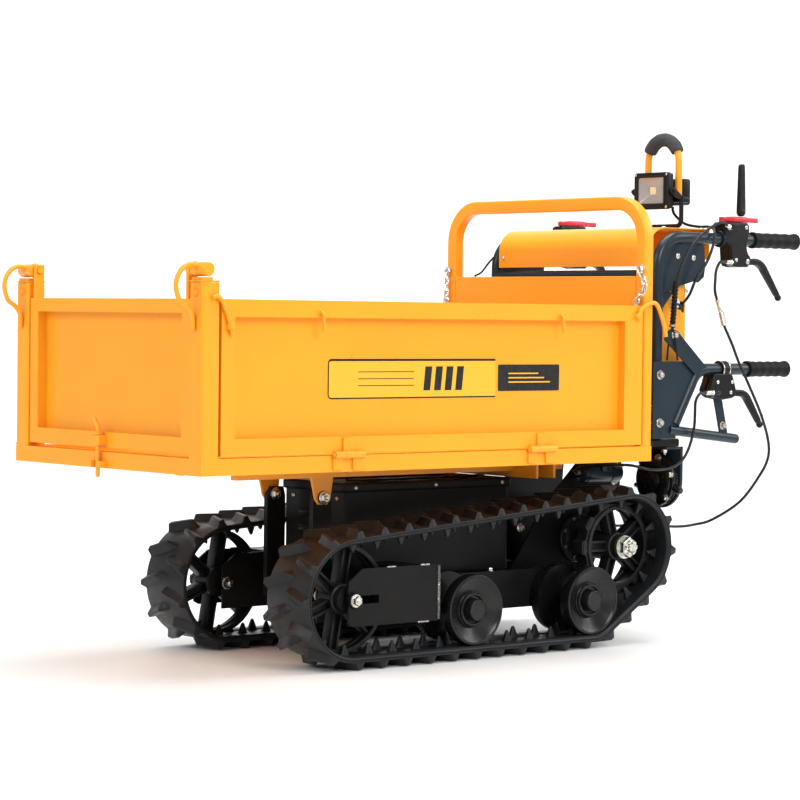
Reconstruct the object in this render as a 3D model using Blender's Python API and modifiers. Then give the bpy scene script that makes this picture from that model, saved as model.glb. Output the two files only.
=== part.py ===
"""Electric tracked mini-dumper (power wheelbarrow) with a drop-sided tipping load box.

Metres, +Z up, +X forward. The ground is Z = 0 and Y = 0 is the plane of symmetry.
"""
import math

import bmesh
import bpy
from mathutils import Matrix, Vector

NAME = "power_wheelbarrow"

# ---- driving dimensions (metres) -------------------------------------------------
LIFT = 0.014            # heights below are from a datum plane this far above the ground

TRACK_Y = 0.202         # centre of each track
TRACK_W = 0.130         # width of a track
BELT = 0.009            # thickness of the belt itself
LUG = 0.016             # height of a ground lug
LINKS = 36              # lugs round one track
IDLER = (0.395, 0.120)  # X, Z of the front idler
IDLER_R = 0.1068
SPROCKET = (-0.340, 0.188)
SPROCKET_R = 0.1005
WHEELS = ((0.086, 0.084), (-0.233, 0.084))
WHEEL_R = 0.0700
DISC = (0.031, 0.057)   # a road wheel's disc, from the track's centre outward
BEAM = (0.127, 0.142)   # a side beam, inboard of the road wheels
AXLE_R = 0.0105

PIVOT = (0.340, 0.305)  # X, Z of the tipping axis
BOX_X = (-0.3435, 0.795)
BOX_Y = 0.310
RAIL_Z = (0.370, 0.401)
FLOOR_Z = (0.385, 0.389)
GATE_Z = (0.404, 0.689)
POST = 0.040
POST_TOP = 0.720
PIN_X, PIN_Z = 0.781, 0.742
SIDE_GATE_X = (-0.3135, 0.7515)
SIDE_HINGE = (0.3175, 0.4025)
HINGES = (0.460, -0.032)
HOOP_TOP = 0.915
HEAD_TOP = 0.750

TUBE_Y = 0.250          # handle tubes
TUBE_X = -0.4145
TUBE_R = 0.0125
TUBE_Z = 0.834          # upper handle height
LOWER_Y = 0.262
LOWER_Z = 0.557
GRIP_END = -0.8425

LAMP_X, LAMP_Y = -0.547, 0.130
LAMP_PIVOT = (-0.521, 0.936)

# ---- scene set-up ------------------------------------------------------------------
for old in list(bpy.data.objects):
    bpy.data.objects.remove(old, do_unlink=True)
PARTS = bpy.data.collections.new(NAME)
bpy.context.scene.collection.children.link(PARTS)

MATERIALS = {}


def material(key, colour, rough, metal=0.0):
    mat = bpy.data.materials.new(key)
    mat.use_nodes = True
    shader = mat.node_tree.nodes["Principled BSDF"]
    shader.inputs["Base Color"].default_value = (*colour, 1.0)
    shader.inputs["Roughness"].default_value = rough
    shader.inputs["Metallic"].default_value = metal
    mat.diffuse_color = (*colour, 1.0)
    MATERIALS[key] = mat


material("yellow_paint", (0.86, 0.40, 0.025), 0.35)
material("black_paint", (0.018, 0.018, 0.020), 0.45)
material("anthracite_paint", (0.045, 0.060, 0.075), 0.40)
material("rubber", (0.030, 0.030, 0.032), 0.85)
material("grip_rubber", (0.022, 0.022, 0.024), 0.75)
material("black_plastic", (0.020, 0.020, 0.022), 0.50)
material("cable_sheath", (0.012, 0.012, 0.013), 0.55)
material("red_plastic", (0.70, 0.03, 0.05), 0.40)
material("lamp_glass", (0.60, 0.60, 0.55), 0.10)


# ---- building helpers ----------------------------------------------------------------
def link(obj, coll=None):
    (coll or PARTS).objects.link(obj)
    return obj


def from_bmesh(name, bm):
    bmesh.ops.recalc_face_normals(bm, faces=bm.faces)
    mesh = bpy.data.meshes.new(name)
    bm.to_mesh(mesh)
    bm.free()
    return link(bpy.data.objects.new(name, mesh))


def baked(obj):
    """The object's evaluated shape as a plain mesh in world space."""
    bpy.context.view_layer.update()
    graph = bpy.context.evaluated_depsgraph_get()
    mesh = bpy.data.meshes.new_from_object(obj.evaluated_get(graph))
    mesh.transform(obj.matrix_world)
    name = obj.name
    bpy.data.objects.remove(obj, do_unlink=True)
    bm = bmesh.new()
    bm.from_mesh(mesh)
    bmesh.ops.remove_doubles(bm, verts=bm.verts, dist=1e-5)
    bm.to_mesh(mesh)
    bm.free()
    return link(bpy.data.objects.new(name, mesh))


def block(name, x, y, z, bevel=0.0, segments=2):
    """A box between the limits x, y and z, with rounded edges."""
    bm = bmesh.new()
    bmesh.ops.create_cube(bm, size=1.0)
    size = Vector((x[1] - x[0], y[1] - y[0], z[1] - z[0]))
    mid = Vector(((x[0] + x[1]) / 2, (y[0] + y[1]) / 2, (z[0] + z[1]) / 2))
    bmesh.ops.scale(bm, vec=size, verts=bm.verts)
    bmesh.ops.translate(bm, vec=mid, verts=bm.verts)
    obj = from_bmesh(name, bm)
    if bevel:
        mod = obj.modifiers.new("edges", "BEVEL")
        mod.width = bevel
        mod.segments = segments
        obj = baked(obj)
    return obj


def cylinder(name, centre, axis, radius, a, b, sides=24, radius2=None):
    """A round bar or cone on a world axis, from a to b along that axis."""
    bm = bmesh.new()
    bmesh.ops.create_cone(bm, cap_ends=True, segments=sides, radius1=radius,
                          radius2=radius if radius2 is None else radius2, depth=b - a)
    bmesh.ops.translate(bm, vec=(0, 0, (a + b) / 2), verts=bm.verts)
    turn = {"X": Matrix.Rotation(math.pi / 2, 3, "Y"),
            "Y": Matrix.Rotation(-math.pi / 2, 3, "X"),
            "Z": Matrix.Identity(3)}[axis]
    bmesh.ops.rotate(bm, cent=(0, 0, 0), matrix=turn, verts=bm.verts)
    bmesh.ops.translate(bm, vec=centre, verts=bm.verts)
    return from_bmesh(name, bm)


def rounded(points, radius, count=5):
    """A path with each inner corner replaced by an arc."""
    pts = [Vector(p) for p in points]
    path = [pts[0]]
    for before, corner, after in zip(pts, pts[1:], pts[2:]):
        u = (before - corner).normalized()
        v = (after - corner).normalized()
        half = u.angle(v) / 2
        reach = radius / math.tan(half)
        centre = corner + (u + v).normalized() * (radius / math.sin(half))
        start = (corner + u * reach - centre).normalized()
        end = (corner + v * reach - centre).normalized()
        for i in range(count + 1):
            path.append(centre + start.slerp(end, i / count) * radius)
    path.append(pts[-1])
    return path


def smooth_path(points, spacing):
    """Points read from a smooth curve through the route's own points."""
    pts = [Vector(p) for p in points]
    pts = [pts[0] * 2 - pts[1]] + pts + [pts[-1] * 2 - pts[-2]]
    path = []
    for p0, p1, p2, p3 in zip(pts, pts[1:], pts[2:], pts[3:]):
        steps = max(1, round((p2 - p1).length / spacing))
        for i in range(steps):
            t = i / steps
            path.append(0.5 * ((2 * p1) + (p2 - p0) * t + (2 * p0 - 5 * p1 + 4 * p2 - p3) * t * t
                               + (3 * p1 - p0 - 3 * p2 + p3) * t * t * t))
    path.append(pts[-2])
    return path


def tube(name, points, radius, resolution=2):
    """A round tube or rod along a path, with closed ends."""
    data = bpy.data.curves.new(name, "CURVE")
    data.dimensions = "3D"
    data.bevel_depth = radius
    data.bevel_resolution = resolution
    data.use_fill_caps = True
    data.render_resolution_u = 0
    spline = data.splines.new("POLY")
    spline.points.add(len(points) - 1)
    for point, co in zip(spline.points, points):
        point.co = (*co, 1.0)
    return baked(link(bpy.data.objects.new(name, data)))


def plate(name, outline, plane, low, high, holes=()):
    """A flat piece: an outline with holes in the plane XZ, YZ or XY, from low to high across it."""
    data = bpy.data.curves.new(name, "CURVE")
    data.dimensions = "2D"
    data.fill_mode = "BOTH"
    data.extrude = (high - low) / 2
    data.render_resolution_u = 0
    for ring in [outline, *holes]:
        spline = data.splines.new("POLY")
        spline.points.add(len(ring) - 1)
        for point, co in zip(spline.points, ring):
            point.co = (co[0], co[1], 0.0, 1.0)
        spline.use_cyclic_u = True
    obj = link(bpy.data.objects.new(name, data))
    mid = (low + high) / 2
    if plane == "XZ":
        basis = Matrix(((1, 0, 0), (0, 0, -1), (0, 1, 0)))
        place = (0, mid, 0)
    elif plane == "YZ":
        basis = Matrix(((0, 0, 1), (1, 0, 0), (0, 1, 0)))
        place = (mid, 0, 0)
    else:
        basis = Matrix.Identity(3)
        place = (0, 0, mid)
    obj.matrix_world = Matrix.Translation(place) @ basis.to_4x4()
    return baked(obj)


def circle(x, z, radius, sides=20):
    return [(x + radius * math.cos(2 * math.pi * i / sides),
             z + radius * math.sin(2 * math.pi * i / sides)) for i in range(sides)]


def turned(name, profile, centre, steps=24):
    """A piece turned about a Y axis; profile is (radius, y), going from +y to -y."""
    mesh = bpy.data.meshes.new(name)
    verts = [(r, 0.0, y) for r, y in profile]
    mesh.from_pydata(verts, [(i, i + 1) for i in range(len(verts) - 1)], [])
    obj = link(bpy.data.objects.new(name, mesh))
    mod = obj.modifiers.new("turn", "SCREW")
    mod.steps = steps
    mod.render_steps = steps
    mod.use_merge_vertices = True
    mod.merge_threshold = 0.0001
    obj.matrix_world = Matrix.Translation(centre) @ Matrix.Rotation(-math.pi / 2, 4, "X")
    obj = baked(obj)
    bm = bmesh.new()
    bm.from_mesh(obj.data)
    bmesh.ops.recalc_face_normals(bm, faces=bm.faces)
    bm.to_mesh(obj.data)
    bm.free()
    return obj


def combine(base, others, operation):
    for other in others:
        mod = base.modifiers.new("join", "BOOLEAN")
        mod.operation = operation
        mod.solver = "EXACT"
        mod.object = other
    done = baked(base)
    for other in others:
        bpy.data.objects.remove(other, do_unlink=True)
    return done


def union(name, base, *others):
    obj = combine(base, others, "UNION")
    obj.name = name
    return obj


def cut(base, *others):
    return combine(base, others, "DIFFERENCE")


def finish(obj, name, mat, joint=None):
    """Name and paint a node; a moving one gets a parent empty on its joint's axis."""
    obj.name = name
    obj.data.name = name
    obj.data.transform(Matrix.Translation((0, 0, LIFT)))
    obj.data.materials.clear()
    obj.data.materials.append(MATERIALS[mat])
    obj.data.shade_smooth()
    obj.data.set_sharp_from_angle(angle=math.radians(32))
    if joint is not None:
        joint = (joint[0], joint[1], joint[2] + LIFT)
        key = "axis_" + "_".join("%.3f" % v for v in joint)
        holder = bpy.data.objects.get(key)
        if holder is None:
            holder = bpy.data.objects.new(key, None)
            holder.location = joint
            holder.empty_display_size = 0.05
            PARTS.objects.link(holder)
            bpy.context.view_layer.update()
        obj.parent = holder
        obj.matrix_parent_inverse = holder.matrix_world.inverted()
    return obj


def span(side, a, b):
    """The Y limits at distances a to b from the middle, on one side."""
    return (a, b) if side > 0 else (-b, -a)


# ---- tracks -----------------------------------------------------------------------------
def hull_path():
    """The inside of the belt: straight runs and arcs round the wheels, as points with lengths."""
    inner = IDLER[1] + LIFT - LUG - BELT
    ordered = [(IDLER, inner), (SPROCKET, 0.103), ((WHEELS[1][0], 0.0850), 0.0740)]
    segs = []
    tangents = []
    count = len(ordered)
    for i in range(count):
        (c0, r0), (c1, r1) = ordered[i], ordered[(i + 1) % count]
        dx, dz = c1[0] - c0[0], c1[1] - c0[1]
        dist = math.hypot(dx, dz)
        base = math.atan2(dz, dx)
        normal = base - math.acos((r0 - r1) / dist)
        tangents.append(normal)
    for i in range(count):
        c, r = ordered[i]
        a_in = tangents[i - 1]
        a_out = tangents[i]
        while a_out < a_in:
            a_out += 2 * math.pi
        segs.append((c, r, a_in, a_out))
    return segs


def track_point(segs, s):
    """The point and outward direction at length s round the belt's inside."""
    total = path_length(segs)
    s = s % total
    for i, (c, r, a0, a1) in enumerate(segs):
        arc = r * (a1 - a0)
        if s <= arc:
            a = a0 + s / r
            return Vector((c[0] + r * math.cos(a), 0, c[1] + r * math.sin(a))), a
        s -= arc
        nc, nr = segs[(i + 1) % len(segs)][:2]
        p = Vector((c[0] + r * math.cos(a1), 0, c[1] + r * math.sin(a1)))
        q = Vector((nc[0] + nr * math.cos(a1), 0, nc[1] + nr * math.sin(a1)))
        run = (q - p).length
        if s <= run:
            return p.lerp(q, s / run), a1
        s -= run
    return track_point(segs, 0.0)


def path_length(segs):
    total = 0.0
    for i, (c, r, a0, a1) in enumerate(segs):
        total += r * (a1 - a0)
        nc, nr = segs[(i + 1) % len(segs)][:2]
        p = Vector((c[0] + r * math.cos(a1), c[1] + r * math.sin(a1)))
        q = Vector((nc[0] + nr * math.cos(a1), nc[1] + nr * math.sin(a1)))
        total += (q - p).length
    return total


def make_track(name, side):
    """A rubber belt with a ground lug at each link: an outline with the inside as its hole."""
    segs = hull_path()
    total = path_length(segs)
    pitch = total / LINKS
    outer = []
    inside = []
    for k in range(LINKS):
        s0 = k * pitch
        foot, tip = 0.014, 0.009
        for ds, h in ((-foot, BELT), (-tip, BELT + LUG), (tip, BELT + LUG), (foot, BELT)):
            p, a = track_point(segs, s0 + ds)
            outer.append((p.x + h * math.cos(a), p.z + h * math.sin(a)))
        for ds in (-0.014, 0.014):
            p, a = track_point(segs, s0 + ds)
            inside.append((p.x, p.z))
        p, a = track_point(segs, s0 + pitch / 2)
        outer.append((p.x + BELT * math.cos(a), p.z + BELT * math.sin(a)))
        inside.append((p.x, p.z))
    low, high = span(side, TRACK_Y - TRACK_W / 2, TRACK_Y + TRACK_W / 2)
    return finish(plate(name, outer, "XZ", low, high, [inside]), name, "rubber")


def toothed(x, z, low, high, teeth):
    ring = []
    for i in range(teeth):
        for f, r in ((-0.30, low), (-0.16, high), (0.16, high), (0.30, low)):
            a = 2 * math.pi * (i + f) / teeth
            ring.append((x + r * math.cos(a), z + r * math.sin(a)))
    return ring


def window(x, z, r0, r1, mid, half):
    """A spoke window: a sector outline between two radii."""
    pts = []
    for i in range(5):
        a = mid - half + 2 * half * i / 4
        pts.append((x + r1 * math.cos(a), z + r1 * math.sin(a)))
    for i in range(3):
        a = mid + (half - 2 * half * i / 2) * 0.55
        pts.append((x + r0 * math.cos(a), z + r0 * math.sin(a)))
    return pts


def make_spoked(name, side, centre, rim, spokes, bore, joint):
    """Sprocket or idler: a rim with spokes round a hub that turns on a fixed axle."""
    x, z = centre
    gaps = [window(x, z, 0.042, 0.078, 2 * math.pi * (i + 0.5) / spokes, math.pi / spokes - 0.16)
            for i in range(spokes)]
    wheel = plate(name, rim, "XZ", *span(side, TRACK_Y - 0.017, TRACK_Y + 0.017),
                  holes=[circle(x, z, bore, 16), *gaps])
    hub = plate("hub", circle(x, z, 0.030, 16), "XZ", *span(side, TRACK_Y - 0.024, TRACK_Y + 0.036),
                holes=[circle(x, z, bore, 16)])
    return finish(union(name, wheel, hub), name, "black_paint", joint)


def make_road_wheel(name, side, centre):
    """Two dished discs on one shaft whose inboard end turns in the side beam."""
    a, b = DISC
    r = WHEEL_R
    profile = [(0.0, b + 0.008), (0.019, b + 0.008), (0.026, b - 0.006), (0.052, b - 0.006),
               (0.058, b), (r - 0.002, b), (r, b - 0.002), (r, a), (AXLE_R, a), (AXLE_R, -a),
               (r, -a), (r, -b + 0.002), (r - 0.002, -b), (AXLE_R, -b), (AXLE_R, -b - 0.016),
               (0.0, -b - 0.016)]
    if side < 0:
        profile = [(q, -y) for q, y in reversed(profile)]
    pos = (centre[0], side * TRACK_Y, centre[1])
    return finish(turned(name, profile, pos), name, "black_paint", pos)


def make_tensioner(name, side):
    """Idler carrier: a plate each side of the idler, a spacer on the beam and the axle."""
    z0, z1 = 0.069, 0.1795
    y0, y1 = TRACK_Y - 0.051, TRACK_Y + 0.051
    outer = plate("outer", [(0.182, z0), (0.394, z0), (0.406, z0 + 0.006), (0.406, 0.155),
                            (0.372, z1), (0.182, z1)], "XZ", *span(side, y1 - 0.005, y1),
                  holes=[[(0.331, 0.112), (0.377, 0.112), (0.377, 0.128), (0.331, 0.128)]])
    inner = plate("inner", [(0.2143, z0), (0.406, z0), (0.406, 0.155), (0.372, z1),
                            (0.2143, z1)], "XZ", *span(side, y0, y0 + 0.005))
    spacer = block("spacer", (0.2143, 0.238), span(side, y0 + 0.002, y1 - 0.002), (z0, z1))
    top = block("top", (0.2143, 0.284), span(side, y0 + 0.001, y1 - 0.001), (z1 - 0.005, z1))
    x, z = IDLER
    axle = cylinder("axle", (x, 0, z), "Y", 0.010, *span(side, y0 - 0.005, y1 + 0.005))
    head = cylinder("head", (x, 0, z), "Y", 0.016, *span(side, y1 - 0.001, y1 + 0.008), sides=6)
    return finish(union(name, spacer, outer, inner, top, axle, head), name, "black_paint")


# ---- chassis ------------------------------------------------------------------------------
def make_main_frame():
    spine = block("spine", (-0.300, 0.358), (-0.050, 0.050), (0.100, 0.140))
    pieces = []
    for side in (1, -1):
        beam = plate("beam", [(-0.256, 0.066), (0.214, 0.066), (0.214, 0.144), (-0.226, 0.144),
                              (-0.256, 0.114)], "XZ", *span(side, *BEAM))
        for x, z in WHEELS:
            beam = cut(beam, cylinder("bore", (x, 0, z), "Y", AXLE_R + 0.0012,
                                      *span(side, 0.10, 0.30)))
        pieces.append(beam)
        pieces.append(block("nose", (0.186, 0.214), span(side, BEAM[1] - 0.004, 0.220),
                            (0.069, 0.140)))
        upright = plate("upright", [(0.313, 0.100), (0.358, 0.100), (0.358, 0.300),
                                    (0.345, 0.318), (0.318, 0.318), (0.313, 0.300)],
                        "XZ", *span(side, 0.068, 0.080))
        pieces.append(upright)
        pin = cylinder("pin", (PIVOT[0], 0, PIVOT[1]), "Y", 0.008, *span(side, 0.079, 0.094))
        pieces.append(pin)
    for x0, x1 in ((0.160, 0.200), (-0.105, -0.065)):
        pieces.append(block("cross", (x0, x1), (-0.130, 0.130), (0.098, 0.132)))
    pieces.append(block("front", (0.313, 0.358), (-0.080, 0.080), (0.104, 0.136)))
    return finish(union("main_frame", spine, *pieces), "main_frame", "black_paint")


def make_battery_box():
    body = block("battery_box", (-0.140, 0.290), (-0.098, 0.098), (0.1403, 0.318), 0.004)
    lid = block("lid", (-0.146, 0.296), (-0.1015, 0.1015), (0.312, 0.332), 0.005)
    return finish(union("battery_box", body, lid), "battery_box", "black_paint")


def make_gearbox():
    x, z = SPROCKET
    case = block("case", (x - 0.065, x + 0.065), (-0.085, 0.085), (0.1403, 0.270), 0.012)
    bar = cylinder("bar", (x, 0, z), "Y", 0.0125, -0.252, 0.252)
    tubes = cylinder("tubes", (x, 0, z), "Y", 0.030, -0.177, 0.177, sides=20)
    nuts = [cylinder("nut", (x, 0, z), "Y", 0.020, *span(s, 0.2385, 0.256), sides=6)
            for s in (1, -1)]
    return finish(union("gearbox", case, bar, tubes, *nuts), "gearbox", "black_paint")


def make_tip_motor():
    body = cylinder("tip_motor", (0, 0.1145, 0.334), "X", 0.0200, -0.440, -0.330, sides=20)
    foot = block("foot", (-0.425, -0.345), (0.0930, 0.1060), (0.318, 0.350))
    return finish(union("tip_motor", body, foot), "tip_motor", "anthracite_paint")


def make_rear_base():
    """Cross member that carries the handles, on two plates up from the spine."""
    bar = block("rear_base", (-0.477, -0.388), (-0.262, 0.262), (0.395, 0.4115), 0.003, 1)
    legs = []
    x, z = SPROCKET
    for side in (1, -1):
        outline = [(-0.477, 0.400), (-0.468, 0.300), (-0.385, 0.120), (-0.290, 0.100),
                   (-0.155, 0.100), (-0.155, 0.140), (-0.250, 0.270), (-0.390, 0.400)]
        legs.append(plate("leg", outline, "XZ", *span(side, 0.0865, 0.0925),
                          holes=[circle(x, z, 0.0315, 24)]))
    tie = block("tie", (-0.2985, -0.160), (-0.0925, 0.0925), (0.0600, 0.0997))
    foot = block("foot", (-0.230, -0.170), (-0.0925, 0.0925), (0.0850, 0.1050))
    tray = cut(foot, block("clear", (-0.31, 0.0), (-0.0505, 0.0505), (0.0997, 0.2)))
    shelf = union("rear_base", bar, *legs, tie, tray)
    return finish(shelf, "rear_base", "black_paint")


def make_drive_motor(name, side):
    """Round electric motor below the handle foot, on a hanging bracket."""
    y = side * 0.198
    disc = cylinder("disc", (0, y, 0.322), "X", 0.056, -0.484, -0.466, sides=28)
    rim = cylinder("rim", (0, y, 0.322), "X", 0.047, -0.468, -0.458, sides=28)
    boss = cylinder("boss", (0, y, 0.322), "X", 0.018, -0.460, -0.450, sides=16)
    hang = [(y + 0.060 * math.cos(a), 0.322 - 0.060 * math.sin(a))
            for a in (math.pi * i / 12 for i in range(13))]
    hang += [(y - 0.060, 0.3945), (y + 0.060, 0.3945)]
    bracket = plate("bracket", hang, "YZ", -0.491, -0.4835)
    top = block("top", (-0.491, -0.440), span(side, 0.138, 0.258), (0.3890, 0.3945))
    return finish(union(name, disc, rim, boss, bracket, top), name, "black_paint")


# ---- handles ---------------------------------------------------------------------------------
def make_handle_frame():
    """Both upper handle tubes with their web plates and the cross tube, one weldment."""
    cross = cylinder("handle_frame", (TUBE_X, 0, 0.755), "Y", 0.010, -TUBE_Y, TUBE_Y, sides=16)
    pieces = []
    for side in (1, -1):
        y = side * TUBE_Y
        path = rounded([(TUBE_X, y, 0.4118), (TUBE_X, y, TUBE_Z), (GRIP_END + 0.012, y, TUBE_Z)],
                       0.062, 6)
        pieces.append(tube("run", path, TUBE_R, 3))
        web = [(TUBE_X, 0.665), (-0.436, 0.692), (-0.455, 0.712), (-0.480, 0.732), (-0.520, 0.742),
               (-0.535, 0.740), (-0.552, 0.752), (-0.556, 0.775), (-0.549, TUBE_Z), (-0.478, TUBE_Z),
               (-0.450, 0.828), (-0.432, 0.815), (-0.420, 0.795), (TUBE_X, 0.770)]
        pieces.append(plate("web", web, "XZ", y - 0.0025, y + 0.0025))
    return finish(union("handle_frame", cross, *pieces), "handle_frame", "anthracite_paint")


def make_lower_handle(name, side):
    """Gusset, bent lower handle tube, strut, brace and foot tube, one weldment."""
    y = side * LOWER_Y
    plane = span(side, 0.2632, 0.2672)
    gusset = plate("gusset", [(-0.390, 0.574), (-0.526, 0.574), (-0.482, 0.480), (-0.459, 0.430),
                              (-0.459, 0.4125), (-0.390, 0.4125)], "XZ", *plane)
    path = rounded([(-0.457, y, 0.442), (-0.524, y, LOWER_Z), (GRIP_END + 0.050, y, LOWER_Z)],
                   0.045, 5)
    run = tube("run", path, TUBE_R, 3)
    foot = tube("foot", [(-0.440, y, 0.431), (-0.645, y, 0.408)], 0.0105, 3)
    strut = plate("strut", [(-0.560, 0.556), (-0.585, 0.556), (-0.622, 0.410), (-0.598, 0.412)],
                  "XZ", *span(side, 0.2602, 0.2642))
    brace = plate("brace", [(-0.4165, 0.619), (-0.4200, 0.634), (-0.436, 0.643), (-0.453, 0.638),
                            (-0.552, 0.554), (-0.508, 0.547)], "XZ", *span(side, 0.2695, 0.2735))
    return finish(union(name, gusset, run, foot, strut, brace), name, "anthracite_paint")


def make_grip(name, side, y, z, x0, x1):
    """Hand grip: a sleeve on the tube with a closed end."""
    rings = [(0.0, x1), (0.012, x1), (0.0178, x1 + 0.006), (0.0178, x0 - 0.006), (0.0160, x0)]
    mesh = bpy.data.meshes.new(name)
    bore = TUBE_R + 0.0006
    deep = x1 + 0.006
    profile = rings + [(bore, x0), (bore, deep), (0.0, deep)]
    verts = [(r, 0.0, s) for r, s in profile]
    mesh.from_pydata(verts, [(i, i + 1) for i in range(len(verts) - 1)], [])
    obj = link(bpy.data.objects.new(name, mesh))
    mod = obj.modifiers.new("turn", "SCREW")
    mod.steps = 16
    mod.render_steps = 16
    mod.use_merge_vertices = True
    mod.merge_threshold = 0.0001
    obj.matrix_world = Matrix.Translation((0, y, z)) @ Matrix.Rotation(math.pi / 2, 4, "Y")
    obj = baked(obj)
    bm = bmesh.new()
    bm.from_mesh(obj.data)
    bmesh.ops.recalc_face_normals(bm, faces=bm.faces)
    bm.to_mesh(obj.data)
    bm.free()
    return finish(obj, name, "grip_rubber")


def make_control_cover():
    """Bent sheet between the upper handle bends."""
    t = 0.0025
    x0 = -0.4045
    arc = 0.048
    outer = [(x0, 0.772), (x0, 0.855 - arc)]
    inner = [(x0 - t, 0.772), (x0 - t, 0.855 - arc)]
    for i in range(1, 8):
        a = math.radians(90 * i / 7)
        outer.append((x0 - arc + arc * math.cos(a), 0.855 - arc + arc * math.sin(a)))
        inner.append((x0 - arc + (arc - t) * math.cos(a), 0.855 - arc + (arc - t) * math.sin(a)))
    outer += [(-0.588, 0.855), (-0.588, 0.790)]
    inner += [(-0.588 + t, 0.855 - t), (-0.588 + t, 0.790)]
    outline = outer + inner[::-1]
    cover = plate("control_cover", outline, "XZ", -0.2330, 0.2330)
    return finish(cover, "control_cover", "yellow_paint")


def make_control_housing():
    body = block("control_housing", (-0.524, -0.430), (-0.2330, 0.2330), (0.500, 0.742), 0.012, 3)
    return finish(body, "control_housing", "yellow_paint")


def make_lever_housing(name, side):
    """Clamp round the upper handle that carries the levers."""
    y = span(side, TUBE_Y - 0.0185, TUBE_Y + 0.0185)
    outline = [(-0.598, 0.845), (-0.596, 0.8695), (-0.672, 0.8695), (-0.6745, 0.850),
               (-0.668, 0.825), (-0.669, 0.812), (-0.679, 0.800), (-0.6795, 0.782),
               (-0.670, 0.7745), (-0.640, 0.7745), (-0.623, 0.780), (-0.620, 0.800),
               (-0.618, 0.822), (-0.602, 0.830)]
    body = plate("body", outline, "XZ", *y)
    bore = cylinder("bore", (0, side * TUBE_Y, TUBE_Z), "X", TUBE_R + 0.0007, -0.75, -0.55)
    slot = block("slot", (-0.74, -0.654), span(side, TUBE_Y - 0.0095, TUBE_Y + 0.0095),
                 (0.75, 0.8065))
    boss = cylinder("boss", (0, side * (TUBE_Y + 0.0150), 0.7850), "X", 0.0052, -0.6400, -0.6056,
                    sides=12)
    body = cut(body, bore, slot)
    if side > 0:
        stop = block("stop", (-0.6240, -0.5956), (TUBE_Y + 0.0130, TUBE_Y + 0.0360),
                     (0.8540, 0.8680), 0.002, 1)
        return finish(union(name, body, boss, stop), name, "black_plastic")
    return finish(union(name, body, boss), name, "black_plastic")


def make_hand_lever(name, side, y, pivot, path, joint):
    """Pivoting hand lever under a handle."""
    arm = tube("arm", path, 0.0076, 2)
    eye = cylinder("eye", (pivot[0], y, pivot[1]), "Y", 0.0095, -0.0085, 0.0085, sides=20)
    return finish(union(name, arm, eye), name, "black_plastic", joint)


def make_lock(name, side):
    """Red thumb catch on top of a lever housing."""
    y0, y1 = TUBE_Y - 0.013, TUBE_Y + 0.013
    outline = [(-0.602, side * (TUBE_Y - 0.005)), (-0.620, side * y0), (-0.680, side * y0),
               (-0.690, side * (TUBE_Y - 0.005)), (-0.716, side * (TUBE_Y - 0.003)),
               (-0.716, side * (TUBE_Y + 0.003)), (-0.690, side * (TUBE_Y + 0.005)),
               (-0.680, side * y1), (-0.620, side * y1), (-0.602, side * (TUBE_Y + 0.005))]
    body = plate(name, outline, "XY", 0.8710, 0.8830)
    return finish(body, name, "red_plastic", (-0.655, side * TUBE_Y, 0.877))


def make_drive_lever():
    """Upright lever: a tapered blade on a round root."""
    x, z = -0.6655, 0.8935
    outline = []
    for i in range(9):
        a = math.pi + math.pi * i / 8
        outline.append((x + 0.0095 * math.cos(a), z + 0.0095 * math.sin(a)))
    outline += [(x + 0.006, 0.9890), (x + 0.004, 0.9945), (x, 0.9960), (x - 0.004, 0.9945),
                (x - 0.006, 0.9890)]
    blade = plate("drive_lever", outline, "XZ", TUBE_Y - 0.006, TUBE_Y + 0.006)
    return finish(blade, "drive_lever", "black_plastic", (x, TUBE_Y, z))


def make_tip_lever_housing():
    """Clamp ring on the left lower handle with the tipping lever's perch hanging from it."""
    outline = [(-0.5475, 0.514), (-0.556, 0.530), (-0.562, 0.548), (-0.616, 0.548),
               (-0.6235, 0.530), (-0.6285, 0.516), (-0.6285, 0.503), (-0.618, 0.496),
               (-0.590, 0.4925), (-0.563, 0.497)]
    body = plate("body", outline, "XZ", LOWER_Y - 0.0170, LOWER_Y + 0.0170)
    ring = cylinder("ring", (0, LOWER_Y, LOWER_Z), "X", 0.0178, -0.6110, -0.5890, sides=24)
    boss = cylinder("boss", (0, LOWER_Y + 0.0170, 0.5075), "X", 0.0048, -0.5750, -0.5350, sides=12)
    bore = cylinder("bore", (0, LOWER_Y, LOWER_Z), "X", TUBE_R + 0.0007, -0.75, -0.50)
    slot = block("slot", (-0.72, -0.5995), (LOWER_Y - 0.0095, LOWER_Y + 0.0095), (0.46, 0.5215))
    strut = block("strut", (-0.604, -0.556), (0.2595, 0.2650), (0.40, 0.5600))
    return finish(cut(union("body", body, ring, boss), bore, slot, strut), "tip_lever_housing",
                  "black_plastic")


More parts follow.
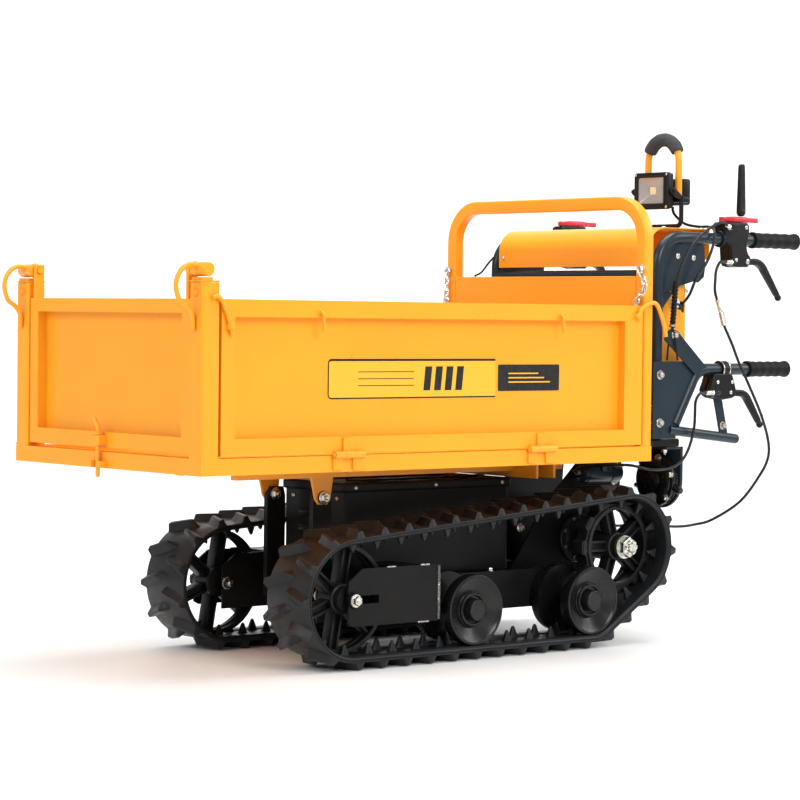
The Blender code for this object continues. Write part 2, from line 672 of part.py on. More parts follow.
# ---- work light ----------------------------------------------------------------------------------
def make_lamp():
    """Stand, carrying handle with foam grip, battery case, and the tilting lamp head."""
    x, y = LAMP_X, LAMP_Y
    px, pz = LAMP_PIVOT
    w = 0.0575
    floor = 0.8555
    path = rounded([(x, y - w, 0.9240), (x, y - w, floor + 0.0055), (x, y + w, floor + 0.0055),
                    (x, y + w, 0.9240)], 0.014, 4)
    legs = tube("legs", path, 0.005, 2)
    case = block("case", (x - 0.052, x - 0.022), (y - 0.045, y + 0.045), (0.905, 0.968), 0.006)
    arms = block("arms", (x - 0.025, x + 0.0005), (y - w, y + w), (0.912, 0.924))
    ears = [block("ear", (x - 0.005, px + 0.0065), span(s, w - 0.003, w + 0.003),
                  (0.918, 0.946)) for s in (1, -1)]
    for ear in ears:
        ear.data.transform(Matrix.Translation((0, y, 0)))
    finish(union("lamp_stand", legs, case, arms, *ears), "lamp_stand", "black_plastic")
    w = 0.0455
    bend, rise = 1.000, 0.0469
    grip_x = x - 0.003
    hoop = [(grip_x, y - w, 0.9250), (grip_x, y - w, bend)]
    for i in range(1, 8):
        a = math.pi - math.pi * i / 8
        hoop.append((grip_x, y + w * math.cos(a), bend + rise * math.sin(a)))
    hoop += [(grip_x, y + w, bend), (grip_x, y + w, 0.9250)]
    finish(tube("lamp_handle", hoop, 0.0075, 3), "lamp_handle", "yellow_paint")
    arc = []
    for i in range(13):
        a = math.pi * (0.86 - 0.72 * i / 12)
        arc.append((grip_x, y + w * math.cos(a), bend + rise * math.sin(a)))
    foam = tube("foam", arc, 0.0145, 3)
    bore = tube("foam_bore", hoop, 0.0085, 3)
    finish(cut(foam, bore), "lamp_foam", "grip_rubber")
    head = block("lamp_head", (-0.531, -0.511), (y - 0.051, y + 0.051), (0.8965, 0.9755), 0.003)
    recess = block("recess", (-0.519, -0.50), (y - 0.038, y + 0.038), (0.909, 0.9646))
    pins = [cylinder("pin", (px, y, pz), "Y", 0.0045, *span(s, 0.050, 0.0535), sides=12)
            for s in (1, -1)]
    head = union("lamp_head", cut(head, recess), *pins)
    finish(head, "lamp_head", "black_plastic", (px, y, pz))
    glass = block("lamp_lens", (-0.5187, -0.5130), (y - 0.0375, y + 0.0375), (0.9095, 0.9641))
    finish(glass, "lamp_lens", "lamp_glass", (px, y, pz))


# ---- load box -----------------------------------------------------------------------------------
def make_tray():
    """Floor frame with the two front posts, gate hinge knuckles and the latch keeper."""
    x0, x1 = BOX_X
    z0, z1 = RAIL_Z
    pieces = []
    for side in (1, -1):
        pieces.append(block("rail", (x0, x1), span(side, 0.280, BOX_Y), (z0, z1)))
        pieces.append(block("post", (x1 - POST, x1), span(side, BOX_Y - POST, BOX_Y),
                            (z1 - 0.010, POST_TOP), 0.003, 1))
        pieces.append(block("saddle", (PIN_X - 0.012, PIN_X + 0.012), span(side, 0.274, 0.306),
                            (POST_TOP - 0.002, PIN_Z - 0.0145)))
        for xc in HINGES:
            for off in (-0.0235, 0.0235):
                y, z = SIDE_HINGE
                pieces.append(cylinder("knuckle", (xc + off, side * y, z), "X", 0.0070, -0.0115,
                                       0.0115, sides=16))
                pieces.append(block("leaf", (xc + off - 0.0115, xc + off + 0.0115),
                                    span(side, BOX_Y - 0.002, BOX_Y + 0.0045), (0.374, 0.3965)))
    pieces.append(block("front", (x1 - 0.040, x1), (-BOX_Y, BOX_Y), (z0, z1)))
    for x in (-0.180, 0.080, 0.340, 0.600):
        pieces.append(block("bearer", (x, x + 0.030), (-0.285, 0.285), (z0, 0.3845)))
    for y in (-0.0265, 0.0035):
        pieces.append(block("keeper", (x1 - 0.002, x1 + 0.017), (y - 0.007, y + 0.007),
                            (0.372, 0.384)))
    rear = block("rear", (x0, x0 + 0.030), (-BOX_Y, BOX_Y), (z0, z1))
    return finish(union("tray_frame", rear, *pieces), "tray_frame", "yellow_paint",
                  (PIVOT[0], 0, PIVOT[1]))


def make_tip_subframe():
    """Rails under the tray with the pivot ears and the rear channel."""
    rails = [block("rail", (-0.290, 0.560), span(s, 0.0815, 0.1015), (0.345, 0.3697))
             for s in (1, -1)]
    pieces = [rails[1]]
    x, z = PIVOT
    for side in (1, -1):
        ear = [(x + 0.030, 0.350), (x + 0.018, z - 0.004), (x + 0.010, z - 0.014),
               (x - 0.010, z - 0.014), (x - 0.018, z - 0.004), (x - 0.026, 0.350)]
        pieces.append(plate("ear", ear, "XZ", *span(side, 0.0820, 0.0880),
                            holes=[circle(x, z, 0.0092, 20)]))
    pieces.append(block("web", (-0.204, -0.150), (-0.172, 0.172), (0.3640, 0.3697)))
    for xc in (-0.201, -0.153):
        pieces.append(block("lip", (xc - 0.003, xc + 0.003), (-0.172, 0.172), (0.332, 0.368)))
    return finish(union("tip_subframe", rails[0], *pieces), "tip_subframe", "yellow_paint",
                  (x, 0, z))


def make_hoop():
    """Guard hoop over the headboard, legs down to the rear rail."""
    def arch(w, top, r):
        pts = [(-w, 0.4013), (-w, top - r)]
        for i in range(1, 7):
            a = math.pi - math.pi / 2 * i / 6
            pts.append((-w + r + r * math.cos(a), top - r + r * math.sin(a)))
        return pts + [(-y, z) for y, z in pts[::-1]]
    outer = arch(0.310, HOOP_TOP, 0.090)
    inner = arch(0.282, HOOP_TOP - 0.028, 0.062)
    hoop = plate("roll_hoop", outer + inner[::-1], "YZ", BOX_X[0], BOX_X[0] + 0.025)
    return finish(hoop, "roll_hoop", "yellow_paint", (PIVOT[0], 0, PIVOT[1]))


def make_headboard():
    board = block("headboard", (-0.3235, -0.3195), (-0.2815, 0.2815), (0.4013, HEAD_TOP))
    fold = block("fold", (-0.3360, -0.3195), (-0.2815, 0.2815), (HEAD_TOP - 0.004, HEAD_TOP))
    return finish(union("headboard", board, fold), "headboard", "yellow_paint",
                  (PIVOT[0], 0, PIVOT[1]))


def framed_gate(name, width, height, plane, low, high, rim, skin):
    """A pressed gate: a frame round a thinner recessed sheet. rim = left, right, low, high."""
    (u0, u1), (v0, v1) = width, height
    outer = [(u0, v0), (u1, v0), (u1, v1), (u0, v1)]
    hole = [(u0 + rim[0], v0 + rim[2]), (u1 - rim[1], v0 + rim[2]), (u1 - rim[1], v1 - rim[3]),
            (u0 + rim[0], v1 - rim[3])]
    frame = plate(name, outer, plane, low, high, [hole])
    pad = 0.001
    sheet = [(u0 + rim[0] - pad, v0 + rim[2] - pad), (u1 - rim[1] + pad, v0 + rim[2] - pad),
             (u1 - rim[1] + pad, v1 - rim[3] + pad), (u0 + rim[0] - pad, v1 - rim[3] + pad)]
    return union(name, frame, plate("sheet", sheet, plane, *skin))


def make_front_gate():
    gate = framed_gate("front_gate", (-0.268, 0.268), (0.408, 0.689), "YZ", 0.766, 0.790,
                       (0.028, 0.028, 0.030, 0.026), (0.768, 0.771))
    pieces = []
    for side in (1, -1):
        ear = block("ear", (PIN_X - 0.012, PIN_X + 0.009), span(side, 0.2500, 0.2590),
                    (0.680, PIN_Z + 0.012), 0.002, 1)
        pieces.append(cut(ear, cylinder("eye", (PIN_X, 0, PIN_Z), "Y", 0.0072,
                                        *span(side, 0.24, 0.27), sides=20)))
    guide = block("guide", (0.788, 0.809), (-0.0235, 0.0005), (0.414, 0.432), 0.0015, 1)
    guide = cut(guide, cylinder("bore", (0.8015, -0.0115, 0), "Z", 0.0052, 0.40, 0.45, sides=16))
    return finish(union("front_gate", gate, guide, *pieces), "front_gate", "yellow_paint",
                  (PIN_X, 0, PIN_Z))


def make_front_latch():
    """Vertical bolt that holds the front gate's lower edge, with a side pull."""
    x, y = 0.8015, -0.0115
    rod = cylinder("front_latch", (x, y, 0), "Z", 0.0042, 0.353, 0.452, sides=12)
    pull = tube("pull", [(x, y, 0.446), (x, y + 0.026, 0.446)], 0.0040, 2)
    stop = cylinder("stop", (x, y, 0), "Z", 0.0062, 0.4325, 0.4365, sides=12)
    return finish(union("front_latch", rod, pull, stop), "front_latch", "yellow_paint",
                  (x, y, 0.400))


def make_side_gate(name, side):
    low, high = span(side, 0.288, BOX_Y)
    skin = span(side, 0.2885, 0.2915)
    gate = framed_gate(name, SIDE_GATE_X, GATE_Z, "XZ", low, high, (0.050, 0.030, 0.032, 0.032),
                       skin)
    y, z = SIDE_HINGE
    pieces = []
    for xc in HINGES:
        pieces.append(cylinder("knuckle", (xc, side * y, z), "X", 0.0070, -0.0115, 0.0115,
                               sides=16))
        pieces.append(block("leaf", (xc - 0.0115, xc + 0.0115),
                            span(side, BOX_Y - 0.002, BOX_Y + 0.0045), (0.4050, 0.434)))
    return finish(union(name, gate, *pieces), name, "yellow_paint", (0, side * y, z))


def make_side_latch(name, side):
    """Bent rod on the side gate whose tip laps the front post."""
    y = side * 0.3158
    path = smooth_path([(0.7315, y, 0.624), (0.7370, y, 0.645), (0.7450, y, 0.666),
                        (0.7560, y, 0.686), (0.7660, y, 0.694), (0.7760, y, 0.691)], 0.012)
    rod = tube("rod", path, 0.0042, 2)
    boss = cylinder("boss", (0.7352, 0, 0.6400), "Y", 0.0073, *span(side, 0.3103, 0.3212),
                    sides=13)
    return finish(union(name, rod, boss), name, "yellow_paint",
                  (0, side * SIDE_HINGE[0], SIDE_HINGE[1]))


def make_pin_handle(name, side):
    """Locking pin of the front gate with its C-shaped pull, turning on the post."""
    barrel = cylinder("barrel", (PIN_X, 0, PIN_Z), "Y", 0.0128, *span(side, 0.2615, 0.3120))
    pin = cylinder("pin", (PIN_X, 0, PIN_Z), "Y", 0.0060, *span(side, 0.2440, 0.2630), sides=16)
    y = side * 0.288
    path = smooth_path([(0.7850, y, 0.7460), (0.8080, y, 0.7500), (0.8280, y, 0.7380),
                        (0.8375, y, 0.7140), (0.8300, y, 0.6860), (0.8120, y, 0.6720),
                        (0.8015, y, 0.6560), (0.8005, y, 0.6340)], 0.011)
    rod = tube("rod", path, 0.0045, 2)
    return finish(union(name, barrel, pin, rod), name, "yellow_paint", (PIN_X, 0, PIN_Z))


# ---- build -----------------------------------------------------------------------------------------
make_main_frame()
make_battery_box()
make_gearbox()
make_tip_motor()
make_rear_base()
for tag, side in (("left", 1), ("right", -1)):
    make_track("track_" + tag, side)
    make_tensioner("tensioner_" + tag, side)
    make_spoked("sprocket_" + tag, side, SPROCKET,
                toothed(*SPROCKET, 0.0935, SPROCKET_R, 11), 5, 0.0136,
                (SPROCKET[0], side * TRACK_Y, SPROCKET[1]))
    make_spoked("idler_" + tag, side, IDLER, circle(*IDLER, IDLER_R, 32), 6, 0.0111,
                (IDLER[0], side * TRACK_Y, IDLER[1]))
    make_road_wheel("road_wheel_front_" + tag, side, WHEELS[0])
    make_road_wheel("road_wheel_rear_" + tag, side, WHEELS[1])
    make_drive_motor("drive_motor_" + tag, side)
    make_lower_handle("lower_handle_" + tag, side)
    make_grip("upper_grip_" + tag, side, side * TUBE_Y, TUBE_Z, -0.698, GRIP_END)
    make_grip("lower_grip_" + tag, side, side * LOWER_Y, LOWER_Z, -0.674, GRIP_END + 0.039)
    make_lever_housing("lever_housing_" + tag, side)
    make_lock("lever_lock_" + tag, side)
    Y = side * TUBE_Y
    make_hand_lever("hand_lever_" + tag, side, Y, (-0.668, 0.787),
                    rounded([(-0.668, Y, 0.787), (-0.725, Y, 0.788), (-0.788, Y, 0.709)],
                            0.040, 4), (-0.668, Y, 0.787))
    make_side_gate("side_gate_" + tag, side)
    make_side_latch("side_latch_" + tag, side)
    make_pin_handle("pin_handle_" + tag, side)
make_handle_frame()
make_control_cover()
make_control_housing()
make_drive_lever()
make_tip_lever_housing()
make_hand_lever("tip_lever", 1, LOWER_Y, (-0.612, 0.508),
                rounded([(-0.612, LOWER_Y, 0.508), (-0.671, LOWER_Y, 0.505),
                         (-0.7226, LOWER_Y, 0.435)], 0.03, 4), (-0.612, LOWER_Y, 0.508))
make_lamp()
make_tray()
finish(block("load_floor", (-0.3130, 0.7545), (-0.2790, 0.2790), FLOOR_Z), "load_floor",
       "yellow_paint", (PIVOT[0], 0, PIVOT[1]))
make_tip_subframe()
make_hoop()
make_headboard()
make_front_gate()
make_front_latch()

# Control cables, held at both ends.
ROUTES = {
    "cable_drive": [(-0.594, 0.281, 0.860), (-0.574, 0.283, 0.868), (-0.544, 0.281, 0.858),
                    (-0.508, 0.277, 0.833), (-0.478, 0.275, 0.800), (-0.457, 0.273, 0.760),
                    (-0.449, 0.272, 0.7250), (-0.446, 0.272, 0.6700)],
    "cable_steer": [(-0.6050, 0.2650, 0.7850), (-0.5870, 0.266, 0.785), (-0.573, 0.268, 0.7675),
                    (-0.568, 0.270, 0.746), (-0.566, 0.272, 0.720), (-0.576, 0.274, 0.693),
                    (-0.586, 0.276, 0.662), (-0.589, 0.280, 0.646), (-0.606, 0.286, 0.610),
                    (-0.623, 0.290, 0.572), (-0.652, 0.296, 0.519), (-0.689, 0.296, 0.459),
                    (-0.718, 0.290, 0.405), (-0.730, 0.280, 0.367), (-0.727, 0.260, 0.328),
                    (-0.7085, 0.220, 0.269), (-0.676, 0.170, 0.228), (-0.653, 0.140, 0.216),
                    (-0.615, 0.120, 0.2115), (-0.540, 0.080, 0.215), (-0.4100, 0.060, 0.215)],
    "cable_tip": [(-0.5335, 0.2790, 0.5075), (-0.5240, 0.2795, 0.5080), (-0.5115, 0.2810, 0.504),
                  (-0.502, 0.2810, 0.488), (-0.501, 0.2810, 0.462), (-0.498, 0.2810, 0.430),
                  (-0.4816, 0.2810, 0.388), (-0.458, 0.2810, 0.363),
                  (-0.422, 0.2800, 0.3505), (-0.376, 0.2750, 0.350), (-0.345, 0.2500, 0.358),
                  (-0.322, 0.2100, 0.358), (-0.312, 0.1750, 0.354), (-0.300, 0.1450, 0.348),
                  (-0.302, 0.1240, 0.340), (-0.3265, 0.1145, 0.336)],
    "cable_lamp": [(-0.5750, 0.135, 0.9040), (-0.5750, 0.138, 0.890), (-0.580, 0.165, 0.8680),
                   (-0.582, 0.205, 0.8605), (-0.580, 0.232, 0.8600), (-0.574, 0.255, 0.8560),
                   (-0.565, 0.2700, 0.8420), (-0.552, 0.2760, 0.8150), (-0.5345, 0.276, 0.782),
                   (-0.510, 0.270, 0.748), (-0.5025, 0.258, 0.7135), (-0.4995, 0.2370, 0.6913)],
}
for key, route in ROUTES.items():
    finish(tube(key, smooth_path(route, 0.026), 0.0030, 2), key, "cable_sheath")
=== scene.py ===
"""The looks of the electric tracked mini-dumper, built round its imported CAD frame.

Heights in this script are from the chassis datum, DATUM above the ground, as in the CAD source.
"""
import math

import bmesh
import bpy
from mathutils import Matrix, Vector


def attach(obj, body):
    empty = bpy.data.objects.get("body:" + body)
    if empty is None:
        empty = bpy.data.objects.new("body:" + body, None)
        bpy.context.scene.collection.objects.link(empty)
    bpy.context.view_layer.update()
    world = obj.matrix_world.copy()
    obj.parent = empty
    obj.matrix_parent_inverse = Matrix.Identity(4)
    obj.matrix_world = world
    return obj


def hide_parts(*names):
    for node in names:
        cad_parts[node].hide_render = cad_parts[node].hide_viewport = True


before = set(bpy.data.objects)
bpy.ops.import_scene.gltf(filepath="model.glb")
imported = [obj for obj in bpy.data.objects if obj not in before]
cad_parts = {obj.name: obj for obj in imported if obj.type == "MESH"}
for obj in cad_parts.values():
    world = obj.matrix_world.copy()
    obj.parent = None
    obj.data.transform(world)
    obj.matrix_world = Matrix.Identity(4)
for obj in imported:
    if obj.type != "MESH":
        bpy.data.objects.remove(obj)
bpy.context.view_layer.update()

DATUM = 0.014
LIFT_UP = Matrix.Translation((0, 0, DATUM))

# Places shared with the CAD, as X, Z of an axis or distances from the middle plane.
TRACK_Y = 0.202
IDLER = (0.395, 0.12)
IDLER_R = 0.1068
SPROCKET = (-0.34, 0.188)
SPROCKET_R = 0.1005
WHEELS = {"front": (0.086, 0.084), "rear": (-0.233, 0.084)}
WHEEL_R = 0.07
BELT = 0.009
LUG = 0.016
LINKS = 36
PIVOT = (0.34, 0.305)
PIN = (0.781, 0.742)
TUBE_Y = 0.25
TUBE_X = -0.4145
TUBE_Z = 0.834
TUBE_R = 0.0125
LOWER_Y = 0.262
LOWER_Z = 0.557
GRIP_END = -0.8425
BOX_FACE = 0.31
HINGES = (0.46, -0.032)
SHEET_FACE = 0.2915
LAMP = Vector((-0.547, 0.13, 0.936))
HAND_PIVOT = (-0.668, 0.787)
TIP_PIVOT = (-0.612, 0.508)
LAMP_PIVOT = (-0.521, 0.936)
HOOP_X = -0.331
# As Y, Z of an axis along X.
GATE_HINGE = (0.3175, 0.4025)
DRIVE_MOTOR = (0.198, 0.322)
TIP_MOTOR = (0.1145, 0.334)
SIDES = (("left", 1), ("right", -1))


# ---- mesh tools -------------------------------------------------------------------------------
def ring(radius, sides, flat=1.0):
    """A round or elliptical section as offsets; flat squeezes its second axis."""
    return [(radius * math.cos(2 * math.pi * i / sides),
             radius * flat * math.sin(2 * math.pi * i / sides)) for i in range(sides)]


def rounded_box(half_a, half_b, corner, steps=4):
    """A rectangular section with round corners."""
    points = []
    for quarter in range(4):
        a = (1, -1, -1, 1)[quarter] * (half_a - corner)
        b = (1, 1, -1, -1)[quarter] * (half_b - corner)
        for i in range(steps + 1):
            t = math.pi / 2 * (quarter + i / steps)
            points.append((a + corner * math.cos(t), b + corner * math.sin(t)))
    return points


def skin(bm, rings, closed=False, caps=True):
    """Faces between rows of points; the rows are joined end to end when closed."""
    rows = [[bm.verts.new(p) for p in row] for row in rings]
    pairs = list(zip(rows, rows[1:]))
    if closed:
        pairs.append((rows[-1], rows[0]))
    count = len(rows[0])
    for low, high in pairs:
        for i in range(count):
            j = (i + 1) % count
            bm.faces.new((low[i], low[j], high[j], high[i]))
    if caps and not closed:
        bm.faces.new(rows[0][::-1])
        bm.faces.new(rows[-1])


def sweep(bm, path, section, closed=False, up=(0, 0, 1)):
    """A section, or a function of the way along that gives one, carried along a path."""
    path = [Vector(p) for p in path]
    count = len(path)
    rings = []
    side = Vector(up)
    for i, point in enumerate(path):
        if closed:
            along = path[(i + 1) % count] - path[i - 1]
        else:
            along = path[min(i + 1, count - 1)] - path[max(i - 1, 0)]
        along.normalize()
        side = side - along * side.dot(along)
        if side.length < 0.001:
            side = along.orthogonal()
        side.normalize()
        across = along.cross(side)
        shape = section(i / (count - 1)) if callable(section) else section
        rings.append([point + side * a + across * b for a, b in shape])
    skin(bm, rings, closed)


def tube(bm, path, radius, sides=20, closed=False):
    """A round bar along a path."""
    sweep(bm, path, ring(radius, sides), closed)


def lathe(bm, profile, centre, axis="Y", steps=48, turn=0.0):
    """A turned shape; profile is (radius, distance along the axis)."""
    centre = Vector(centre)
    unit = {"X": Vector((1, 0, 0)), "Y": Vector((0, 1, 0)), "Z": Vector((0, 0, 1))}
    along = unit[axis] if isinstance(axis, str) else Vector(axis).normalized()
    first = along.orthogonal().normalized()
    if isinstance(axis, str):
        first = {"X": unit["Y"], "Y": unit["X"], "Z": unit["X"]}[axis]
    second = along.cross(first)
    closed = profile[0] == profile[-1]
    rows = []
    for radius, reach in profile[1:] if closed else profile:
        r = max(radius, 0.00005)
        rows.append([centre + along * reach + (first * math.cos(turn + 2 * math.pi * i / steps)
                     + second * math.sin(turn + 2 * math.pi * i / steps)) * r
                     for i in range(steps)])
    skin(bm, rows, closed)


def box(bm, x, y, z, bevel=0.001, segments=2):
    """A box between the limits x, y and z, with rounded edges."""
    made = bmesh.ops.create_cube(bm, size=1.0)["verts"]
    size = Vector((x[1] - x[0], y[1] - y[0], z[1] - z[0]))
    bmesh.ops.scale(bm, vec=size, verts=made)
    middle = Vector((x[0] + x[1], y[0] + y[1], z[0] + z[1])) / 2
    bmesh.ops.translate(bm, vec=middle, verts=made)
    if bevel:
        edges = list(dict.fromkeys(e for v in made for e in v.link_edges))
        bmesh.ops.bevel(bm, geom=edges, offset=bevel, segments=segments, affect="EDGES",
                        profile=0.5, clamp_overlap=True)


def plate(bm, outline, plane, low, high, bevel=0.0008, holes=()):
    """A flat piece with rounded edges and holes, in the plane XZ, YZ or XY."""
    data = bpy.data.curves.new("plate", "CURVE")
    data.dimensions = "2D"
    data.fill_mode = "BOTH"
    data.extrude = (high - low) / 2 - bevel
    data.bevel_depth = bevel
    data.bevel_resolution = 2
    data.offset = -bevel
    for loop in [outline, *holes]:
        spline = data.splines.new("POLY")
        spline.points.add(len(loop) - 1)
        for point, co in zip(spline.points, loop):
            point.co = (co[0], co[1], 0.0, 1.0)
        spline.use_cyclic_u = True
    holder = bpy.data.objects.new("plate", data)
    bpy.context.scene.collection.objects.link(holder)
    bpy.context.view_layer.update()
    mesh = bpy.data.meshes.new_from_object(
        holder.evaluated_get(bpy.context.evaluated_depsgraph_get()))
    middle = (low + high) / 2
    basis, place = {
        "XZ": (Matrix(((1, 0, 0), (0, 0, -1), (0, 1, 0))), (0, middle, 0)),
        "YZ": (Matrix(((0, 0, 1), (1, 0, 0), (0, 1, 0))), (middle, 0, 0)),
        "XY": (Matrix.Identity(3), (0, 0, middle)),
    }[plane]
    mesh.transform(Matrix.Translation(place) @ basis.to_4x4())
    bm.from_mesh(mesh)
    bpy.data.objects.remove(holder)
    bpy.data.meshes.remove(mesh)
    bpy.data.curves.remove(data)


def circle(x, z, radius, sides=32):
    """A round outline about a point."""
    return [(x + a, z + b) for a, b in ring(radius, sides)]


def bend(points, radius, count=10):
    """A path with each inner corner replaced by an arc."""
    pts = [Vector(p) for p in points]
    path = [pts[0]]
    for before, corner, after in zip(pts, pts[1:], pts[2:]):
        u = (before - corner).normalized()
        v = (after - corner).normalized()
        half = u.angle(v) / 2
        reach = radius / math.tan(half)
        centre = corner + (u + v).normalized() * (radius / math.sin(half))
        start = (corner + u * reach - centre).normalized()
        end = (corner + v * reach - centre).normalized()
        for i in range(count + 1):
            path.append(centre + start.slerp(end, i / count) * radius)
    path.append(pts[-1])
    return path


def smooth(points, spacing=0.006):
    """Points read from a smooth curve through the route's own points."""
    pts = [Vector(p) for p in points]
    pts = [pts[0] * 2 - pts[1]] + pts + [pts[-1] * 2 - pts[-2]]
    path = []
    for p0, p1, p2, p3 in zip(pts, pts[1:], pts[2:], pts[3:]):
        steps = max(1, round((p2 - p1).length / spacing))
        for i in range(steps):
            t = i / steps
            path.append(0.5 * ((2 * p1) + (p2 - p0) * t + (2 * p0 - 5 * p1 + 4 * p2 - p3) * t * t
                               + (3 * p1 - p0 - 3 * p2 + p3) * t * t * t))
    path.append(pts[-2])
    return path


def disc(bm, radius, low, high, *place):
    """A plain turned disc between two distances along its axis; place is as for lathe."""
    lathe(bm, [(0, low), (radius, low), (radius, high), (0, high)], *place)


def cap(bm, radius, shoulder, top_radius, top, *place):
    """A turned disc that narrows above its shoulder; place is as for lathe."""
    lathe(bm, [(0, 0), (radius, 0), (radius, shoulder), (top_radius, top), (0, top)], *place)


def around(middle, half):
    """The limits at half the width on each side of a middle."""
    return middle - half, middle + half


def beside(middle, side, a, b):
    """The limits at distances a to b from a middle, on one side of it."""
    return sorted((middle + side * a, middle + side * b))


def bolt(bm, at, direction, across=0.013, height=0.007, washer=True, stud=0.0, turn=0.3):
    """A hexagon head or nut on a washer, standing along direction from a face at a point."""
    base = 0.0
    if washer:
        base = 0.0014
        lathe(bm, [(0, -0.0005), (across * 0.72, -0.0005), (across * 0.74, 0.0003),
                   (across * 0.74, base - 0.0002), (across * 0.72, base)], at, direction, 28)
    r = across / math.sqrt(3)
    lathe(bm, [(0, base), (r, base), (r, base + height * 0.78), (r * 0.88, base + height),
               (0, base + height)], at, direction, 6, turn)
    if stud:
        lathe(bm, [(across * 0.27, base + height - 0.0005), (across * 0.27, base + height + stud),
                   (across * 0.2, base + height + stud + 0.001), (0, base + height + stud + 0.001)],
              at, direction, 16)


def screw(bm, at, direction, radius=0.005, height=0.0028):
    """A low domed screw head with a socket."""
    lathe(bm, [(0, -0.0005), (radius, -0.0005), (radius, height * 0.35), (radius * 0.8, height * 0.8),
               (radius * 0.5, height), (radius * 0.42, height), (radius * 0.4, height * 0.4),
               (0, height * 0.4)], at, direction, 20)


def weld(bm, path, radius=0.0022, step=0.0032):
    """A weld bead: overlapping ripples along a seam."""
    points = smooth(path, step / 4)

    def section(t):
        wave = 1 + 0.22 * math.sin(t * len(points) / 4 * 2 * math.pi)
        return ring(radius * wave, 8)
    sweep(bm, points, section)


def piece(name, bm, look, body, replaces=(), angle=35):
    """Turns a mesh into a piece of the object, lifted from the datum, on its body."""
    bmesh.ops.recalc_face_normals(bm, faces=bm.faces)
    bm.transform(LIFT_UP)
    mesh = bpy.data.meshes.new(name)
    bm.to_mesh(mesh)
    bm.free()
    mesh.materials.append(LOOKS[look])
    mesh.shade_smooth()
    mesh.set_sharp_from_angle(angle=math.radians(angle))
    obj = bpy.data.objects.new(name, mesh)
    bpy.context.scene.collection.objects.link(obj)
    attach(obj, body)
    if replaces:
        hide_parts(*replaces)
    return obj


def span(side, a, b):
    """The Y limits at distances a to b from the middle, on one side."""
    return (a, b) if side > 0 else (-b, -a)


# ---- materials --------------------------------------------------------------------------------
LOOKS = {}


def look(name, colour, rough, metal=0.0, mottle=0.1, mottle_scale=9.0, rough_swing=0.08,
         grain_scale=900.0, grain=0.06, grain_depth=0.0002, coat=0.0, tint=None, streak=None,
         specular=0.5, dust=0.0):
    """A procedural finish: uneven colour and gloss, a fine surface grain and settled dust."""
    mat = bpy.data.materials.new(name)
    mat.use_nodes = True
    nodes, links = mat.node_tree.nodes, mat.node_tree.links
    shader = nodes["Principled BSDF"]
    shader.inputs["Metallic"].default_value = metal
    shader.inputs["Coat Weight"].default_value = coat
    shader.inputs["Coat Roughness"].default_value = 0.12
    shader.inputs["Specular IOR Level"].default_value = specular
    where = nodes.new("ShaderNodeTexCoord").outputs["Object"]
    if streak:
        stretch = nodes.new("ShaderNodeMapping")
        stretch.inputs["Scale"].default_value = streak
        links.new(where, stretch.inputs["Vector"])
        where_fine = stretch.outputs["Vector"]
    else:
        where_fine = where

    def noise(scale, detail, source):
        node = nodes.new("ShaderNodeTexNoise")
        node.inputs["Scale"].default_value = scale
        node.inputs["Detail"].default_value = detail
        node.inputs["Roughness"].default_value = 0.6
        links.new(source, node.inputs["Vector"])
        return node.outputs["Fac"]

    cloud = noise(mottle_scale, 5.0, where)
    ramp = nodes.new("ShaderNodeValToRGB")
    ramp.color_ramp.elements[0].position = 0.3
    ramp.color_ramp.elements[1].position = 0.72
    other = tint or colour
    ramp.color_ramp.elements[0].color = (*[c * (1 - mottle) for c in colour], 1)
    ramp.color_ramp.elements[1].color = (*[min(1.0, c * (1 + mottle)) for c in other], 1)
    links.new(cloud, ramp.inputs["Fac"])
    final = ramp.outputs["Color"]
    if dust:
        speck = noise(mottle_scale * 6, 8.0, where)
        gate = nodes.new("ShaderNodeValToRGB")
        gate.color_ramp.elements[0].position = 0.52
        gate.color_ramp.elements[1].position = 0.8
        gate.color_ramp.elements[0].color = (0, 0, 0, 1)
        gate.color_ramp.elements[1].color = (dust, dust, dust, 1)
        links.new(speck, gate.inputs["Fac"])
        mix = nodes.new("ShaderNodeMixRGB")
        mix.inputs["Color2"].default_value = (0.13, 0.13, 0.125, 1)
        links.new(gate.outputs["Color"], mix.inputs["Fac"])
        links.new(final, mix.inputs["Color1"])
        final = mix.outputs["Color"]
    links.new(final, shader.inputs["Base Color"])
    swing = nodes.new("ShaderNodeMapRange")
    swing.inputs["From Min"].default_value = 0.3
    swing.inputs["From Max"].default_value = 0.7
    swing.inputs["To Min"].default_value = max(0.02, rough - rough_swing)
    swing.inputs["To Max"].default_value = min(1.0, rough + rough_swing)
    links.new(noise(mottle_scale * 3.1, 4.0, where_fine), swing.inputs["Value"])
    links.new(swing.outputs["Result"], shader.inputs["Roughness"])
    bump = nodes.new("ShaderNodeBump")
    bump.inputs["Strength"].default_value = grain
    bump.inputs["Distance"].default_value = grain_depth
    links.new(noise(grain_scale, 3.0, where_fine), bump.inputs["Height"])
    links.new(bump.outputs["Normal"], shader.inputs["Normal"])
    LOOKS[name] = mat
    return mat


